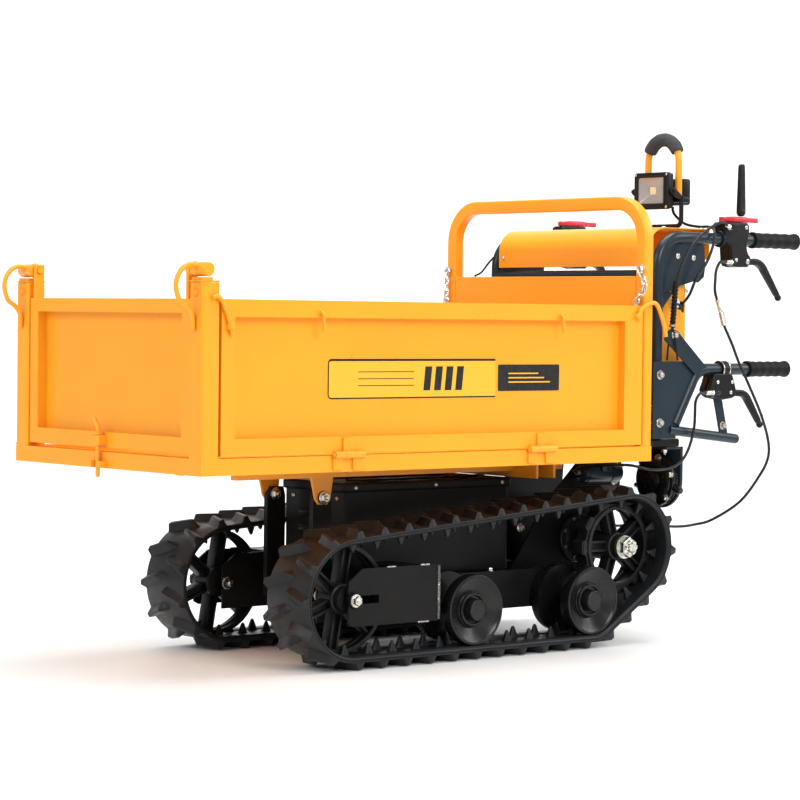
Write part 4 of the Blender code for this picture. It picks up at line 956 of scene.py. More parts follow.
def build_pin_handle(tag, side):
    """Locking pin of the front gate: barrel, collar and C-shaped pull of round bar."""
    bm = bmesh.new()
    x, z = PIN
    lathe(bm, [(0, 0.244), (0.005, 0.244), (0.006, 0.245), (0.006, 0.2612), (0.0112, 0.2615),
               (0.0128, 0.2632), (0.0128, 0.309), (0.0112, 0.3118), (0.007, 0.312), (0, 0.312)],
          (x, 0, z), (0, side, 0), 40)
    y = side * 0.288
    path = smooth([(0.785, y, 0.746), (0.808, y, 0.75), (0.828, y, 0.738),
                   (0.8375, y, 0.714), (0.83, y, 0.686), (0.812, y, 0.672),
                   (0.8015, y, 0.656), (0.8005, y, 0.634)], 0.003)
    tube(bm, path, 0.0045, 18)
    cap(bm, 0.0045, 0.001, 0.003, 0.0022, path[-1], (0, 0, -1), 18)
    piece("pin_pull_" + tag, bm, "yellow_paint", "pin_handle_" + tag, ["pin_handle_" + tag])
    ring_bm = bmesh.new()
    lathe(ring_bm, [(0.0132, 0), (0.0145, 0.0004), (0.0145, 0.003), (0.0132, 0.0034),
                    (0.0132, 0)], (x, side * 0.264, z), (0, side, 0), 32)
    piece("pin_collar_" + tag, ring_bm, "yellow_paint", "pin_handle_" + tag)


def build_front_latch():
    x, y = 0.8015, -0.0115
    bm = bmesh.new()
    lathe(bm, [(0, 0.353), (0.0026, 0.353), (0.0042, 0.356), (0.0042, 0.432), (0.0062, 0.4325),
               (0.0062, 0.4365), (0.0042, 0.437), (0.0042, 0.448), (0.003, 0.4518), (0, 0.452)],
          (x, y, 0), "Z", 24)
    path = smooth([(x, y, 0.446), (x, y - 0.006, 0.4535), (x, y - 0.0105, 0.46), (x, y - 0.014, 0.464)],
                  0.002)
    tube(bm, path, 0.004, 16)
    piece("front_bolt_rod", bm, "yellow_paint", "front_latch", ["front_latch"])


def build_box_welds():
    """Painted weld beads and seams of the load box."""
    bm = bmesh.new()
    for side in (1, -1):
        weld(bm, [(0.7546, side * 0.2705, 0.4025), (0.7546, side * 0.308, 0.4025)], 0.002)
        for x in (0.7556, 0.7944):
            weld(bm, [(x, side * 0.2715, 0.7205), (x, side * 0.3085, 0.7205)], 0.0014)
        weld(bm, [(-0.3178, side * 0.283, 0.4022), (-0.3178, side * 0.309, 0.4022)], 0.0024)
        weld(bm, [(0.3, side * 0.089, 0.3692), (0.372, side * 0.089, 0.3692)], 0.0024)
        for x in (0.755, 0.794):
            disc(bm, 0.0016, 0, 0.001, (x, side * 0.3095, 0.404), (0, side, 0), 12)
    piece("box_welds", bm, "yellow_paint", "load_box")
    bolts = bmesh.new()
    for side in (1, -1):
        bolt(bolts, (0.7948, side * 0.29, 0.7), (1, 0, 0), 0.01, 0.004)
        bolt(bolts, (PIVOT[0] - 0.05, side * 0.1015, 0.357), (0, side, 0), 0.01, 0.005)
    piece("box_bolts", bolts, "yellow_paint", "load_box")


# ---- handles ------------------------------------------------------------------------------------
def build_handle_frame():
    """Bent upper handle tubes, their web plates, the cross tube and the bolts."""
    bm = bmesh.new()
    tube(bm, [(TUBE_X, -TUBE_Y, 0.755), (TUBE_X, TUBE_Y, 0.755)], 0.01, 20)
    bolts = bmesh.new()
    for side in (1, -1):
        y = side * TUBE_Y
        path = bend([(TUBE_X, y, 0.4118), (TUBE_X, y, TUBE_Z), (GRIP_END + 0.012, y, TUBE_Z)],
                    0.062, 18)
        tube(bm, path, TUBE_R, 28)
        web = [(TUBE_X, 0.665), (-0.436, 0.692), (-0.455, 0.712), (-0.48, 0.732), (-0.52, 0.742),
               (-0.535, 0.74), (-0.552, 0.752), (-0.556, 0.775), (-0.549, TUBE_Z), (-0.478, TUBE_Z),
               (-0.45, 0.828), (-0.432, 0.815), (-0.42, 0.795), (TUBE_X, 0.77)]
        plate(bm, web, "XZ", y - 0.0025, y + 0.0025, 0.0008)
        weld(bm, [(-0.48, y + side * 0.003, TUBE_Z - 0.0125), (-0.545, y + side * 0.003,
                                                                TUBE_Z - 0.0125)], 0.0016)
        plate(bm, circle(TUBE_X, 0, 0.0215, 28), "XZ", 0, 0.003, 0.0006)
        for x, z in ((-0.472, 0.795), (-0.519, 0.792)):
            screw(bolts, (x, y + side * 0.0025, z), (0, side, 0), 0.006, 0.0032)
        for z in (0.44, 0.475):
            bolt(bolts, (TUBE_X + 0.012, y, z), (1, 0, 0), 0.011, 0.005)
    piece("handle_tubes", bm, "anthracite_paint", "chassis", ["handle_frame"], angle=40)
    piece("handle_bolts", bolts, "zinc", "chassis")


def build_lower_handle(tag, side):
    """Gusset, bent lower tube, foot tube, strut and brace plates."""
    y = side * LOWER_Y
    bm = bmesh.new()
    plate(bm, [(-0.39, 0.574), (-0.526, 0.574), (-0.482, 0.48), (-0.459, 0.43),
               (-0.459, 0.4125), (-0.39, 0.4125)], "XZ", *span(side, 0.2632, 0.2672), 0.0008)
    path = bend([(-0.457, y, 0.442), (-0.524, y, LOWER_Z), (GRIP_END + 0.05, y, LOWER_Z)], 0.045, 16)
    tube(bm, path, TUBE_R, 28)
    tube(bm, [(-0.44, y, 0.431), (-0.643, y, 0.4082)], 0.0105, 24)
    plate(bm, [(-0.56, 0.556), (-0.585, 0.556), (-0.622, 0.41), (-0.598, 0.412)],
          "XZ", *span(side, 0.2602, 0.2642), 0.0008)
    plate(bm, [(-0.4165, 0.619), (-0.42, 0.634), (-0.436, 0.643), (-0.453, 0.638),
               (-0.552, 0.554), (-0.508, 0.547)], "XZ", *span(side, 0.2695, 0.2735), 0.0008)
    lathe(bm, [(0, 0), (0.0085, 0), (0.0098, 0.002), (0.0098, 0.004), (0, 0.004)],
          (-0.643, y, 0.4082), (-1, 0, -0.112), 24)
    name = "lower_handle_" + tag
    piece("lower_tubes_" + tag, bm, "anthracite_paint", "chassis", [name], angle=40)
    bolts = bmesh.new()
    for x, z in ((-0.409, 0.5457), (-0.41, 0.4457)):
        bolt(bolts, (x, side * 0.2672, z), (0, side, 0), 0.013, 0.006, stud=0.002)
    bolt(bolts, (-0.603, side * 0.2642, 0.437), (0, side, 0), 0.012, 0.006)
    bolt(bolts, (-0.444, side * 0.2735, 0.629), (0, side, 0), 0.012, 0.006, stud=0.002)
    piece("lower_bolts_" + tag, bolts, "zinc", "chassis")


def build_grip(name, y, z, inner_end, outer_end):
    """Moulded rubber grip with finger rolls, an end flange and a domed cap."""
    length = inner_end - outer_end
    profile = [(0.0, 0.0), (0.007, 0.0002), (0.012, 0.0012), (0.015, 0.003), (0.0166, 0.0056),
               (0.0178, 0.0062), (0.0178, 0.0092), (0.0168, 0.01)]
    steps = 84
    for i in range(steps + 1):
        s = 0.0115 + (length - 0.02) * i / steps
        t = i / steps
        roll = 0.0006 * math.cos(2 * math.pi * 4.5 * t)
        rib = 0.00022 * math.cos(2 * math.pi * 42 * t)
        profile.append((0.016 + roll + rib, s))
    profile += [(0.0168, length - 0.008), (0.0178, length - 0.0072), (0.0178, length - 0.0022),
                (0.017, length - 0.0004), (0.0128, length), (0.01, length - 0.0004),
                (0.0, length - 0.0004)]
    bm = bmesh.new()
    lathe(bm, profile, (outer_end, y, z), "X", 56)
    piece(name.replace("grip", "grip_rubber"), bm, "grip_rubber", "chassis", [name], angle=50)


def adjuster(bm, at, direction, reach=0.022):
    """Bright cable adjuster: lock nut, knurled barrel and a tapered end."""
    way = Vector(direction).normalized()
    disc(bm, 0.003, -0.004, 0.001, at, way, 16)
    disc(bm, 0.0058, 0.0005, 0.0038, at, way, 6, 0.2)
    profile = [(0, 0.0042), (0.0046, 0.0042)]
    for i in range(5):
        s = 0.0048 + i * (reach - 0.01) / 5
        profile += [(0.005, s), (0.0044, s + 0.0008)]
    profile += [(0.0048, reach - 0.005), (0.0036, reach), (0, reach)]
    lathe(bm, profile, at, way, 20)


def build_lever_housing(tag, side):
    """Clamp housing that narrows down to the lever's pivot, with its seam, screws and adjusters."""
    y = side * TUBE_Y
    outline = [(-0.599, 0.845), (-0.597, 0.866), (-0.601, 0.8695), (-0.668, 0.8695), (-0.6735, 0.864),
               (-0.674, 0.848), (-0.668, 0.828), (-0.6675, 0.814), (-0.6715, 0.804), (-0.6785, 0.797),
               (-0.679, 0.783), (-0.67, 0.775), (-0.64, 0.7745), (-0.627, 0.777), (-0.6215, 0.786),
               (-0.62, 0.8), (-0.6185, 0.818), (-0.612, 0.827), (-0.603, 0.831)]
    bm = bmesh.new()
    plate(bm, outline, "XZ", y - 0.0185, y - 0.0098, 0.003)
    plate(bm, outline, "XZ", y + 0.0098, y + 0.0185, 0.003)
    core = [(-0.601, 0.847), (-0.6, 0.8675), (-0.668, 0.8675), (-0.672, 0.848), (-0.666, 0.828),
            (-0.6655, 0.814), (-0.668, 0.809), (-0.654, 0.809), (-0.654, 0.7765), (-0.64, 0.7765),
            (-0.629, 0.779), (-0.6235, 0.788), (-0.6205, 0.818), (-0.612, 0.83)]
    plate(bm, core, "XZ", y - 0.01, y + 0.01, 0.0008)
    lathe(bm, [(0.0128, -0.001), (0.0165, -0.001), (0.018, 0.001), (0.018, 0.0045),
               (0.0165, 0.006), (0.0128, 0.006)], (-0.602, y, TUBE_Z), "X", 40)
    for s in (1, -1):
        low, high = beside(y, s, 0.018, 0.019)
        for z in (0.851, 0.843):
            box(bm, (-0.66, -0.618), (low, high), (z, z + 0.003), 0.0004, 1)
    box(bm, (-0.672, -0.6), around(y, 0.0135), (0.868, 0.8703), 0.001)
    lathe(bm, [(0, 0), (0.0052, 0), (0.006, 0.002), (0.006, 0.012), (0.0048, 0.015), (0, 0.015)],
          (-0.634, side * (TUBE_Y + 0.014), 0.786), (1, 0, 0), 24)
    if side > 0:
        box(bm, (-0.624, -0.6), (y + 0.015, y + 0.0355), (0.8545, 0.8675), 0.0022, 3)
    piece("lever_body_" + tag, bm, "black_plastic", "chassis", ["lever_housing_" + tag])
    bolts = bmesh.new()
    for x, z in ((-0.61, 0.857), (-0.664, 0.86), (-0.634, 0.79)):
        for s in (1, -1):
            screw(bolts, (x, y + s * 0.0185, z), (0, s, 0), 0.0042, 0.0016)
    cap(bolts, 0.0056, 0.0014, 0.004, 0.002, (HAND_PIVOT[0], y + side * 0.0182, HAND_PIVOT[1]),
        (0, side, 0), 20)
    adjuster(bolts, (-0.6235, side * (TUBE_Y + 0.015), 0.7852), (1.0, 0.0, 0.0), 0.018)
    piece("lever_screws_" + tag, bolts, "zinc", "chassis")


def flat_lever(name, body, y, route, radius, node, half=0.0082):
    """Moulded hand lever: an eye, a flattened arm that swells at the hand, and a ball end."""
    path = smooth(bend(route, radius, 6), 0.003)

    def section(t):
        wide = half * (0.82 + 0.18 * math.sin(math.pi * min(1.0, t * 1.2)))
        if t > 0.86:
            wide *= math.sqrt(max(0.0, 1 - ((t - 0.86) / 0.14) ** 2)) * 0.9 + 0.1
        return rounded_box(wide * 0.92, wide * 1.0, wide * 0.55, 5)
    bm = bmesh.new()
    sweep(bm, path, section, up=(0, 0, 1))
    x, _, z = route[0]
    lathe(bm, [(0, -0.0085), (0.0085, -0.0085), (0.0095, -0.0075), (0.0095, 0.0075),
               (0.0085, 0.0085), (0, 0.0085)], (x, y, z), "Y", 32)
    along = (Vector(path[-1]) - Vector(path[-4])).normalized()
    ball = bmesh.new()
    bmesh.ops.create_uvsphere(ball, u_segments=28, v_segments=18, radius=0.0074)
    bmesh.ops.translate(ball, vec=Vector(path[-1]) - along * 0.003, verts=ball.verts)
    merge(bm, ball)
    piece(name, bm, "black_plastic", body, [node], angle=45)


def build_lock(tag, side):
    """Red thumb catch: a shaped plate with raised grip ribs."""
    half = ((-0.602, 0.004), (-0.606, 0.0085), (-0.62, 0.013), (-0.676, 0.013), (-0.685, 0.009),
            (-0.692, 0.0042), (-0.716, 0.003))
    outline = [(x, side * (TUBE_Y - w)) for x, w in half]
    outline += [(x, side * (TUBE_Y + w)) for x, w in half[::-1]]
    bm = bmesh.new()
    plate(bm, outline, "XY", 0.871, 0.8815, 0.0022)
    y = side * TUBE_Y
    for i in range(6):
        x = -0.632 - 0.008 * i
        box(bm, around(x, 0.0016), around(y, 0.0095), (0.8805, 0.8829), 0.0007)
    body = "lever_lock_" + tag
    piece("catch_" + tag, bm, "red_plastic", body, [body])


def build_drive_lever():
    """Upright blade lever with a round root and a rounded tip."""
    x, z = -0.6655, 0.8935
    outline = []
    for i in range(15):
        a = math.pi + math.pi * i / 14
        outline.append((x + 0.0095 * math.cos(a), z + 0.0095 * math.sin(a)))
    outline += [(x + 0.006, 0.988), (x + 0.0052, 0.9925), (x + 0.003, 0.9953), (x, 0.9962),
                (x - 0.003, 0.9953), (x - 0.0052, 0.9925), (x - 0.006, 0.988)]
    bm = bmesh.new()
    plate(bm, outline, "XZ", TUBE_Y - 0.006, TUBE_Y + 0.006, 0.0022)
    for s in (1, -1):
        low, high = beside(TUBE_Y, s, 0.0055, 0.0066)
        plate(bm, [(x + 0.0022, 0.915), (x + 0.001, 0.982), (x - 0.001, 0.982), (x - 0.0022, 0.915)],
              "XZ", low, high, 0.0004)
        cap(bm, 0.0072, 0.0012, 0.006, 0.002, (x, TUBE_Y + s * 0.0055, z), (0, s, 0), 28)
    piece("drive_blade", bm, "black_plastic", "drive_lever", ["drive_lever"])


def build_tip_lever_housing():
    """Clamp ring on the lower tube with the lever's perch hanging below it."""
    outline = [(-0.548, 0.514), (-0.5555, 0.529), (-0.56, 0.544), (-0.565, 0.548), (-0.612, 0.548),
               (-0.6175, 0.544), (-0.6235, 0.53), (-0.628, 0.517), (-0.6285, 0.505), (-0.625, 0.499),
               (-0.616, 0.4955), (-0.59, 0.4925), (-0.564, 0.4965), (-0.552, 0.504)]
    bm = bmesh.new()
    y = LOWER_Y
    plate(bm, outline, "XZ", y + 0.0098, y + 0.017, 0.0026)
    plate(bm, outline, "XZ", y - 0.017, y - 0.0098, 0.0026)
    plate(bm, [(-0.606, 0.5235), (-0.606, 0.5465), (-0.611, 0.5465), (-0.616, 0.542), (-0.6225, 0.5235)],
          "XZ", y - 0.01, y + 0.01, 0.0008)
    for s, reach in ((1, 0.004), (-1, -0.0018)):
        low, high = sorted((y + reach, y + s * 0.01))
        plate(bm, [(-0.55, 0.514), (-0.557, 0.53), (-0.562, 0.5465), (-0.606, 0.5465),
                   (-0.606, 0.5235), (-0.5995, 0.5235), (-0.5995, 0.4955), (-0.59, 0.4945),
                   (-0.565, 0.4985)], "XZ", low, high, 0.0006)
    lathe(bm, [(0.0128, 0.0), (0.0166, 0.0), (0.0178, 0.0014), (0.0178, 0.0206), (0.0166, 0.022),
               (0.0128, 0.022), (0.0128, 0.0)], (-0.611, y, LOWER_Z), "X", 40)
    lathe(bm, [(0, 0), (0.0048, 0), (0.0056, 0.002), (0.0056, 0.018), (0.0044, 0.021), (0, 0.021)],
          (-0.578, y + 0.0165, 0.5075), (1, 0, 0), 24)
    piece("tip_lever_body", bm, "black_plastic", "chassis", ["tip_lever_housing"])
    bolts = bmesh.new()
    for x, z in ((-0.616, 0.53), (-0.572, 0.53), (-0.612, 0.508)):
        for s in (1, -1):
            screw(bolts, (x, y + s * 0.017, z), (0, s, 0), 0.004, 0.0015)
    for x in (-0.6105, -0.592):
        lathe(bolts, [(0.0178, 0), (0.0184, 0.0004), (0.0184, 0.0022), (0.0178, 0.0026), (0.0178, 0)],
              (x, y, LOWER_Z), "X", 36)
    adjuster(bolts, (-0.557, y + 0.017, 0.5075), (1.0, 0.0, 0.0), 0.022)
    piece("tip_lever_screws", bolts, "zinc", "chassis")


# ---- controls and cables --------------------------------------------------------------------------
ROUTES = {
    "cable_drive": [(-0.594, 0.281, 0.86), (-0.574, 0.283, 0.868), (-0.544, 0.281, 0.858),
                    (-0.508, 0.277, 0.833), (-0.478, 0.275, 0.8), (-0.457, 0.273, 0.76),
                    (-0.449, 0.272, 0.725), (-0.446, 0.272, 0.67)],
    "cable_steer": [(-0.605, 0.265, 0.785), (-0.587, 0.266, 0.785), (-0.573, 0.268, 0.7675),
                    (-0.568, 0.27, 0.746), (-0.566, 0.272, 0.72), (-0.576, 0.274, 0.693),
                    (-0.586, 0.276, 0.662), (-0.589, 0.28, 0.646), (-0.606, 0.286, 0.61),
                    (-0.623, 0.29, 0.572), (-0.652, 0.296, 0.519), (-0.689, 0.296, 0.459),
                    (-0.718, 0.29, 0.405), (-0.73, 0.28, 0.367), (-0.727, 0.26, 0.328),
                    (-0.7085, 0.22, 0.269), (-0.676, 0.17, 0.228), (-0.653, 0.14, 0.216),
                    (-0.615, 0.12, 0.2115), (-0.54, 0.08, 0.215), (-0.41, 0.06, 0.215)],
    "cable_tip": [(-0.5335, 0.279, 0.5075), (-0.524, 0.2795, 0.508), (-0.5115, 0.281, 0.504),
                  (-0.502, 0.281, 0.488), (-0.501, 0.281, 0.462), (-0.498, 0.281, 0.43),
                  (-0.4816, 0.281, 0.388), (-0.458, 0.281, 0.363),
                  (-0.422, 0.28, 0.3505), (-0.376, 0.275, 0.35), (-0.345, 0.25, 0.358),
                  (-0.322, 0.21, 0.358), (-0.312, 0.175, 0.354), (-0.3, 0.145, 0.348),
                  (-0.302, 0.124, 0.34), (-0.3265, 0.1145, 0.336)],
    "cable_lamp": [(-0.575, 0.135, 0.904), (-0.575, 0.138, 0.89), (-0.58, 0.165, 0.868),
                   (-0.582, 0.205, 0.8605), (-0.58, 0.232, 0.86), (-0.574, 0.255, 0.856),
                   (-0.565, 0.27, 0.842), (-0.552, 0.276, 0.815), (-0.5345, 0.276, 0.782),
                   (-0.51, 0.27, 0.748), (-0.5025, 0.258, 0.7135), (-0.4995, 0.237, 0.6913)],
}


def build_cables():
    """The four cables, their end fittings and the spring on the steering cable."""
    for key, route in ROUTES.items():
        bm = bmesh.new()
        tube(bm, smooth(route, 0.006), 0.003, 18)
        piece(key.replace("cable", "sheath"), bm, "cable_sheath", "chassis", [key])
    ends = bmesh.new()
    adjuster(ends, (-0.604, 0.279, 0.858), (1.0, 0.12, 0.25), 0.016)
    adjuster(ends, (-0.5715, 0.2733, 0.705), (-0.32, 0.06, -0.95), 0.03)
    cap(ends, 0.0048, 0.01, 0.0036, 0.012, (-0.406, 0.06, 0.215), (-1, 0, 0), 20)
    cap(ends, 0.006, 0.008, 0.004, 0.01, (-0.329, 0.1145, 0.336), (1, 0, 0), 20)
    piece("cable_fittings", ends, "zinc", "chassis")
    coils = bmesh.new()
    start, way = Vector((-0.5812, 0.2752, 0.678)), Vector((-0.27, 0.07, -0.96)).normalized()
    first = way.orthogonal().normalized()
    second = way.cross(first)
    helix = []
    turns, per_turn = 11, 14
    for i in range(turns * per_turn + 1):
        a = 2 * math.pi * i / per_turn
        helix.append(start + way * (0.0026 * i / per_turn) + (first * math.cos(a)
                     + second * math.sin(a)) * 0.0056)
    tube(coils, helix, 0.0011, 6)
    piece("cable_spring", coils, "zinc", "chassis")


def build_boot():
    """Slim folded rubber boot beside the control housing, with the two inner lines below it."""
    upper, lower = Vector((-0.447, 0.272, 0.736)), Vector((-0.439, 0.272, 0.645))
    way = (lower - upper).normalized()
    length = (lower - upper).length
    profile = [(0.0, -0.006), (0.0044, -0.006), (0.0052, -0.004), (0.0054, 0.0)]
    folds = 11
    pitch = (length - 0.01) / folds
    for i in range(folds):
        s0 = 0.002 + pitch * i
        profile += [(0.005, s0), (0.0064, s0 + pitch * 0.36), (0.0067, s0 + pitch * 0.5),
                    (0.0064, s0 + pitch * 0.64), (0.005, s0 + pitch * 0.96)]
    profile += [(0.0056, length - 0.006), (0.0062, length - 0.004), (0.0062, length), (0.0, length)]
    bm = bmesh.new()
    lathe(bm, profile, upper, way, 32)
    piece("cable_boot", bm, "grip_rubber", "chassis", angle=60)
    lines = bmesh.new()
    tube(lines, smooth([lower, (-0.433, 0.27, 0.629), (-0.429, 0.27, 0.6),
                        (-0.427, 0.2695, 0.576)], 0.006), 0.0022, 14)
    tube(lines, smooth([lower, (-0.442, 0.276, 0.629), (-0.447, 0.277, 0.6),
                        (-0.452, 0.2755, 0.576)], 0.006), 0.0022, 14)
    piece("boot_lines", lines, "cable_sheath", "chassis")
    clip = bmesh.new()
    lathe(clip, [(0.006, 0), (0.0076, 0.0004), (0.0076, 0.0046), (0.006, 0.005), (0.006, 0)],
          lower - way * 0.006, way, 32)
    box(clip, (-0.456, -0.436), (0.25, 0.2665), (0.719, 0.7215), 0.0006)
    piece("boot_clip", clip, "zinc", "chassis")


def build_plug():
    """White connector and its short black lead on the side of the control housing."""
    bm = bmesh.new()
    box(bm, (-0.487, -0.468), (0.2325, 0.244), (0.686, 0.705), 0.0016, 3)
    box(bm, (-0.4835, -0.4715), (0.243, 0.249), (0.69, 0.701), 0.001, 2)
    piece("lamp_plug", bm, "white_plastic", "chassis")
    lead = bmesh.new()
    tube(lead, smooth([(-0.4775, 0.248, 0.6955), (-0.479, 0.254, 0.69), (-0.485, 0.255, 0.68),
                       (-0.493, 0.25, 0.678), (-0.499, 0.244, 0.685)], 0.003), 0.002, 12)
    far = [(-0.405, -0.25, 0.796), (-0.392, -0.254, 0.782), (-0.372, -0.254, 0.762),
           (-0.349, -0.25, 0.753)]
    tube(lead, smooth(far, 0.004), 0.0024, 12)
    piece("small_leads", lead, "cable_sheath", "chassis")
    gland = bmesh.new()
    lathe(gland, [(0, -0.002), (0.0088, -0.002), (0.0088, 0.004), (0.0064, 0.006), (0.0064, 0.009),
                  (0, 0.009)], (-0.4995, 0.2325, 0.6913), (0, 1, 0.1), 24)
    piece("lead_gland", gland, "black_plastic", "chassis")


def build_cover_trim():
    """Screws on the bent cover and on the control housing."""
    bm = bmesh.new()
    for side in (1, -1):
        for x in (-0.462, -0.575):
            screw(bm, (x, side * 0.22, 0.855), (0, 0, 1), 0.0052, 0.0026)
        screw(bm, (-0.4045, side * 0.22, 0.792), (1, 0, 0), 0.0052, 0.0026)
        screw(bm, (-0.519, side * 0.233, 0.722), (0, side, 0), 0.0052, 0.0026)
        for z in (0.52, 0.72):
            screw(bm, (-0.43, side * 0.215, z), (1, 0, 0), 0.005, 0.0026)
            screw(bm, (-0.524, side * 0.215, z), (-1, 0, 0), 0.005, 0.0026)
    piece("cover_screws", bm, "zinc", "chassis")


# ---- work light -------------------------------------------------------------------------------------
def build_lamp_stand():
    """The lamp's bracket, its driver box, the carrying hoop and the foam sleeve on it."""
    x, y, _ = LAMP
    px, pz = LAMP_PIVOT
    w = 0.0575
    floor = 0.8555
    bm = bmesh.new()
    path = bend([(x, y - w, 0.924), (x, y - w, floor + 0.0055), (x, y + w, floor + 0.0055),
                 (x, y + w, 0.924)], 0.014, 8)
    tube(bm, path, 0.005, 18)
    box(bm, (x - 0.046, x - 0.022), around(y, 0.042), (0.907, 0.964), 0.006, 4)
    box(bm, (x - 0.025, x + 0.0005), (y - w, y + w), (0.912, 0.924), 0.002)
    for s in (1, -1):
        low, high = sorted((y + s * (w - 0.003), y + s * (w + 0.003)))
        plate(bm, [(x - 0.005, 0.918), (x + 0.005, 0.918), (px + 0.004, 0.929), (px + 0.0065, 0.933),
                   (px + 0.0065, 0.938), (px + 0.003, 0.942), (px - 0.003, 0.942), (x + 0.002, 0.927),
                   (x - 0.005, 0.926)], "XZ", low, high, 0.0008)
        lathe(bm, [(0, 0.002), (0.0048, 0.002), (0.0052, 0.0028), (0.0052, 0.0062), (0.0044, 0.007),
                   (0, 0.0072)], (px, y + s * w, pz), (0, s, 0), 6)
    for i in range(5):
        z0 = 0.916 + 0.01 * i
        box(bm, (x - 0.0475, x - 0.0455), around(y, 0.034), (z0, z0 + 0.004), 0.0006, 1)
    piece("lamp_frame", bm, "black_plastic", "chassis", ["lamp_stand"])
    x, w, bend_z, rise = x - 0.003, 0.0455, 1.0, 0.0469
    hoop = [(x, y - w, 0.925), (x, y - w, 0.96), (x, y - w, bend_z)]
    for i in range(1, 20):
        a = math.pi - math.pi * i / 20
        hoop.append((x, y + w * math.cos(a), bend_z + rise * math.sin(a)))
    hoop += [(x, y + w, bend_z), (x, y + w, 0.96), (x, y + w, 0.925)]
    bm = bmesh.new()
    tube(bm, hoop, 0.0075, 28)
    piece("lamp_hoop", bm, "yellow_paint", "chassis", ["lamp_handle"], angle=50)
    arc = []
    for i in range(61):
        a = math.pi * (0.86 - 0.72 * i / 60)
        arc.append((x, y + w * math.cos(a), bend_z + rise * math.sin(a)))
    bm = bmesh.new()

    def section(t):
        end = min(t, 1 - t)
        r = 0.0145 * (1 - 0.1 * math.exp(-end * 30)) * (1 - 0.012 * math.cos(t * 40))
        return ring(r, 40)
    sweep(bm, arc, section)
    return piece("foam_sleeve", bm, "foam", "chassis", ["lamp_foam"], angle=60)


def build_lamp_head():
    """Flat lamp head: bezel, back, reflector, diode and clear pane."""
    y = LAMP.y
    px, zc = LAMP_PIVOT
    half_y, half_z = 0.051, 0.0395
    bm = bmesh.new()

    def frame_loop(hy, hz, corner, rise=0.0):
        return [(y + a, zc + rise + b) for a, b in rounded_box(hy, hz, corner, 6)]
    window = frame_loop(0.038, 0.0278, 0.003, 0.0008)
    plate(bm, frame_loop(half_y, half_z, 0.006), "YZ", px - 0.0015, px + 0.0088, 0.0016, [window])
    plate(bm, frame_loop(half_y - 0.002, half_z - 0.002, 0.005), "YZ", px - 0.01, px - 0.001, 0.0012)
    plate(bm, frame_loop(0.042, 0.0318, 0.004, 0.0008), "YZ", px + 0.0082, px + 0.01, 0.0006,
          [frame_loop(0.038, 0.0278, 0.0028, 0.0008)])
    for s in (1, -1):
        disc(bm, 0.0045, 0, 0.0035, (px, y + s * 0.05, zc), (0, s, 0), 16)
    piece("lamp_shell", bm, "black_plastic", "lamp_head", ["lamp_head"])
    cone = bmesh.new()
    rows = []
    for hy, hz, reach in ((0.0382, 0.028, 0.007), (0.0376, 0.0274, 0.0066), (0.0125, 0.011, 0.0006),
                          (0.0115, 0.01, 0.0002)):
        rows.append([(px + reach, y + a, zc + 0.0008 + b) for a, b in rounded_box(hy, hz, 0.002, 3)])
    skin(cone, rows, caps=False)
    cone.faces.new([cone.verts.new((px + 0.0001, y + a, zc + 0.0008 + b))
                    for a, b in rounded_box(0.0118, 0.0103, 0.002, 3)])
    piece("lamp_reflector", cone, "reflector", "lamp_head")
    led = bmesh.new()
    box(led, (px + 0.0003, px + 0.0022), around(y, 0.0085), (zc - 0.0072, zc + 0.0088), 0.0005, 1)
    piece("lamp_led", led, "led", "lamp_head")
    glass = bmesh.new()
    plate(glass, frame_loop(0.0378, 0.0276, 0.002, 0.0008), "YZ", px + 0.0074, px + 0.0084, 0.0003)
    piece("lamp_glass_pane", glass, "lamp_glass", "lamp_head", ["lamp_lens"])
    screws = bmesh.new()
    for sy in (1, -1):
        for sz in (1, -1):
            screw(screws, (px + 0.0088, y + sy * 0.0458, zc + sz * 0.0348), (1, 0, 0), 0.003, 0.0014)
    piece("lamp_screws", screws, "zinc", "lamp_head")


# ---- whole object -------------------------------------------------------------------------------
KEPT = {"main_frame": ("black_paint", 0.0025), "battery_box": ("black_paint", 0.0),
        "gearbox": ("dark_cast", 0.0015), "rear_base": ("black_paint", 0.001),
        "tray_frame": ("yellow_paint", 0.0015), "load_floor": ("yellow_paint", 0.0008),
        "tip_subframe": ("yellow_paint", 0.0012), "headboard": ("yellow_paint", 0.001),
        "front_gate": ("yellow_paint", 0.0016), "control_cover": ("yellow_paint", 0.0006),
        "control_housing": ("yellow_paint", 0.0)}
for tag, _ in SIDES:
    KEPT["tensioner_" + tag] = ("black_paint", 0.0012)
    KEPT["side_gate_" + tag] = ("yellow_paint", 0.0016)
for node, (finish_name, bevel) in KEPT.items():
    finish_cad_node(bpy.data.objects[node], finish_name, bevel)

for tag, side in SIDES:
    build_track(tag, side)
    build_sprocket(tag, side)
    build_idler(tag, side)
    for which in WHEELS:
        build_road_wheel(which, tag, side)
    build_tensioner_trim(tag, side)
    build_drive_motor(tag, side)
    build_chain(tag, side)
    build_gate_trim(tag, side)
    build_decals(tag, side)
    build_pin_handle(tag, side)
    build_lower_handle(tag, side)
    build_grip("upper_grip_" + tag, side * TUBE_Y, TUBE_Z, -0.698, GRIP_END)
    build_grip("lower_grip_" + tag, side * LOWER_Y, LOWER_Z, -0.674, GRIP_END + 0.039)
    build_lever_housing(tag, side)
    build_lock(tag, side)
    Y = side * TUBE_Y
    flat_lever("squeeze_lever_" + tag, "hand_lever_" + tag, Y,
               [(HAND_PIVOT[0], Y, HAND_PIVOT[1]), (-0.725, Y, 0.788), (-0.788, Y, 0.709)], 0.04,
               "hand_lever_" + tag)
build_chassis_hardware()
build_gearbox_trim()
build_tip_motor()
build_hoop()
build_front_latch()
build_box_welds()
build_handle_frame()
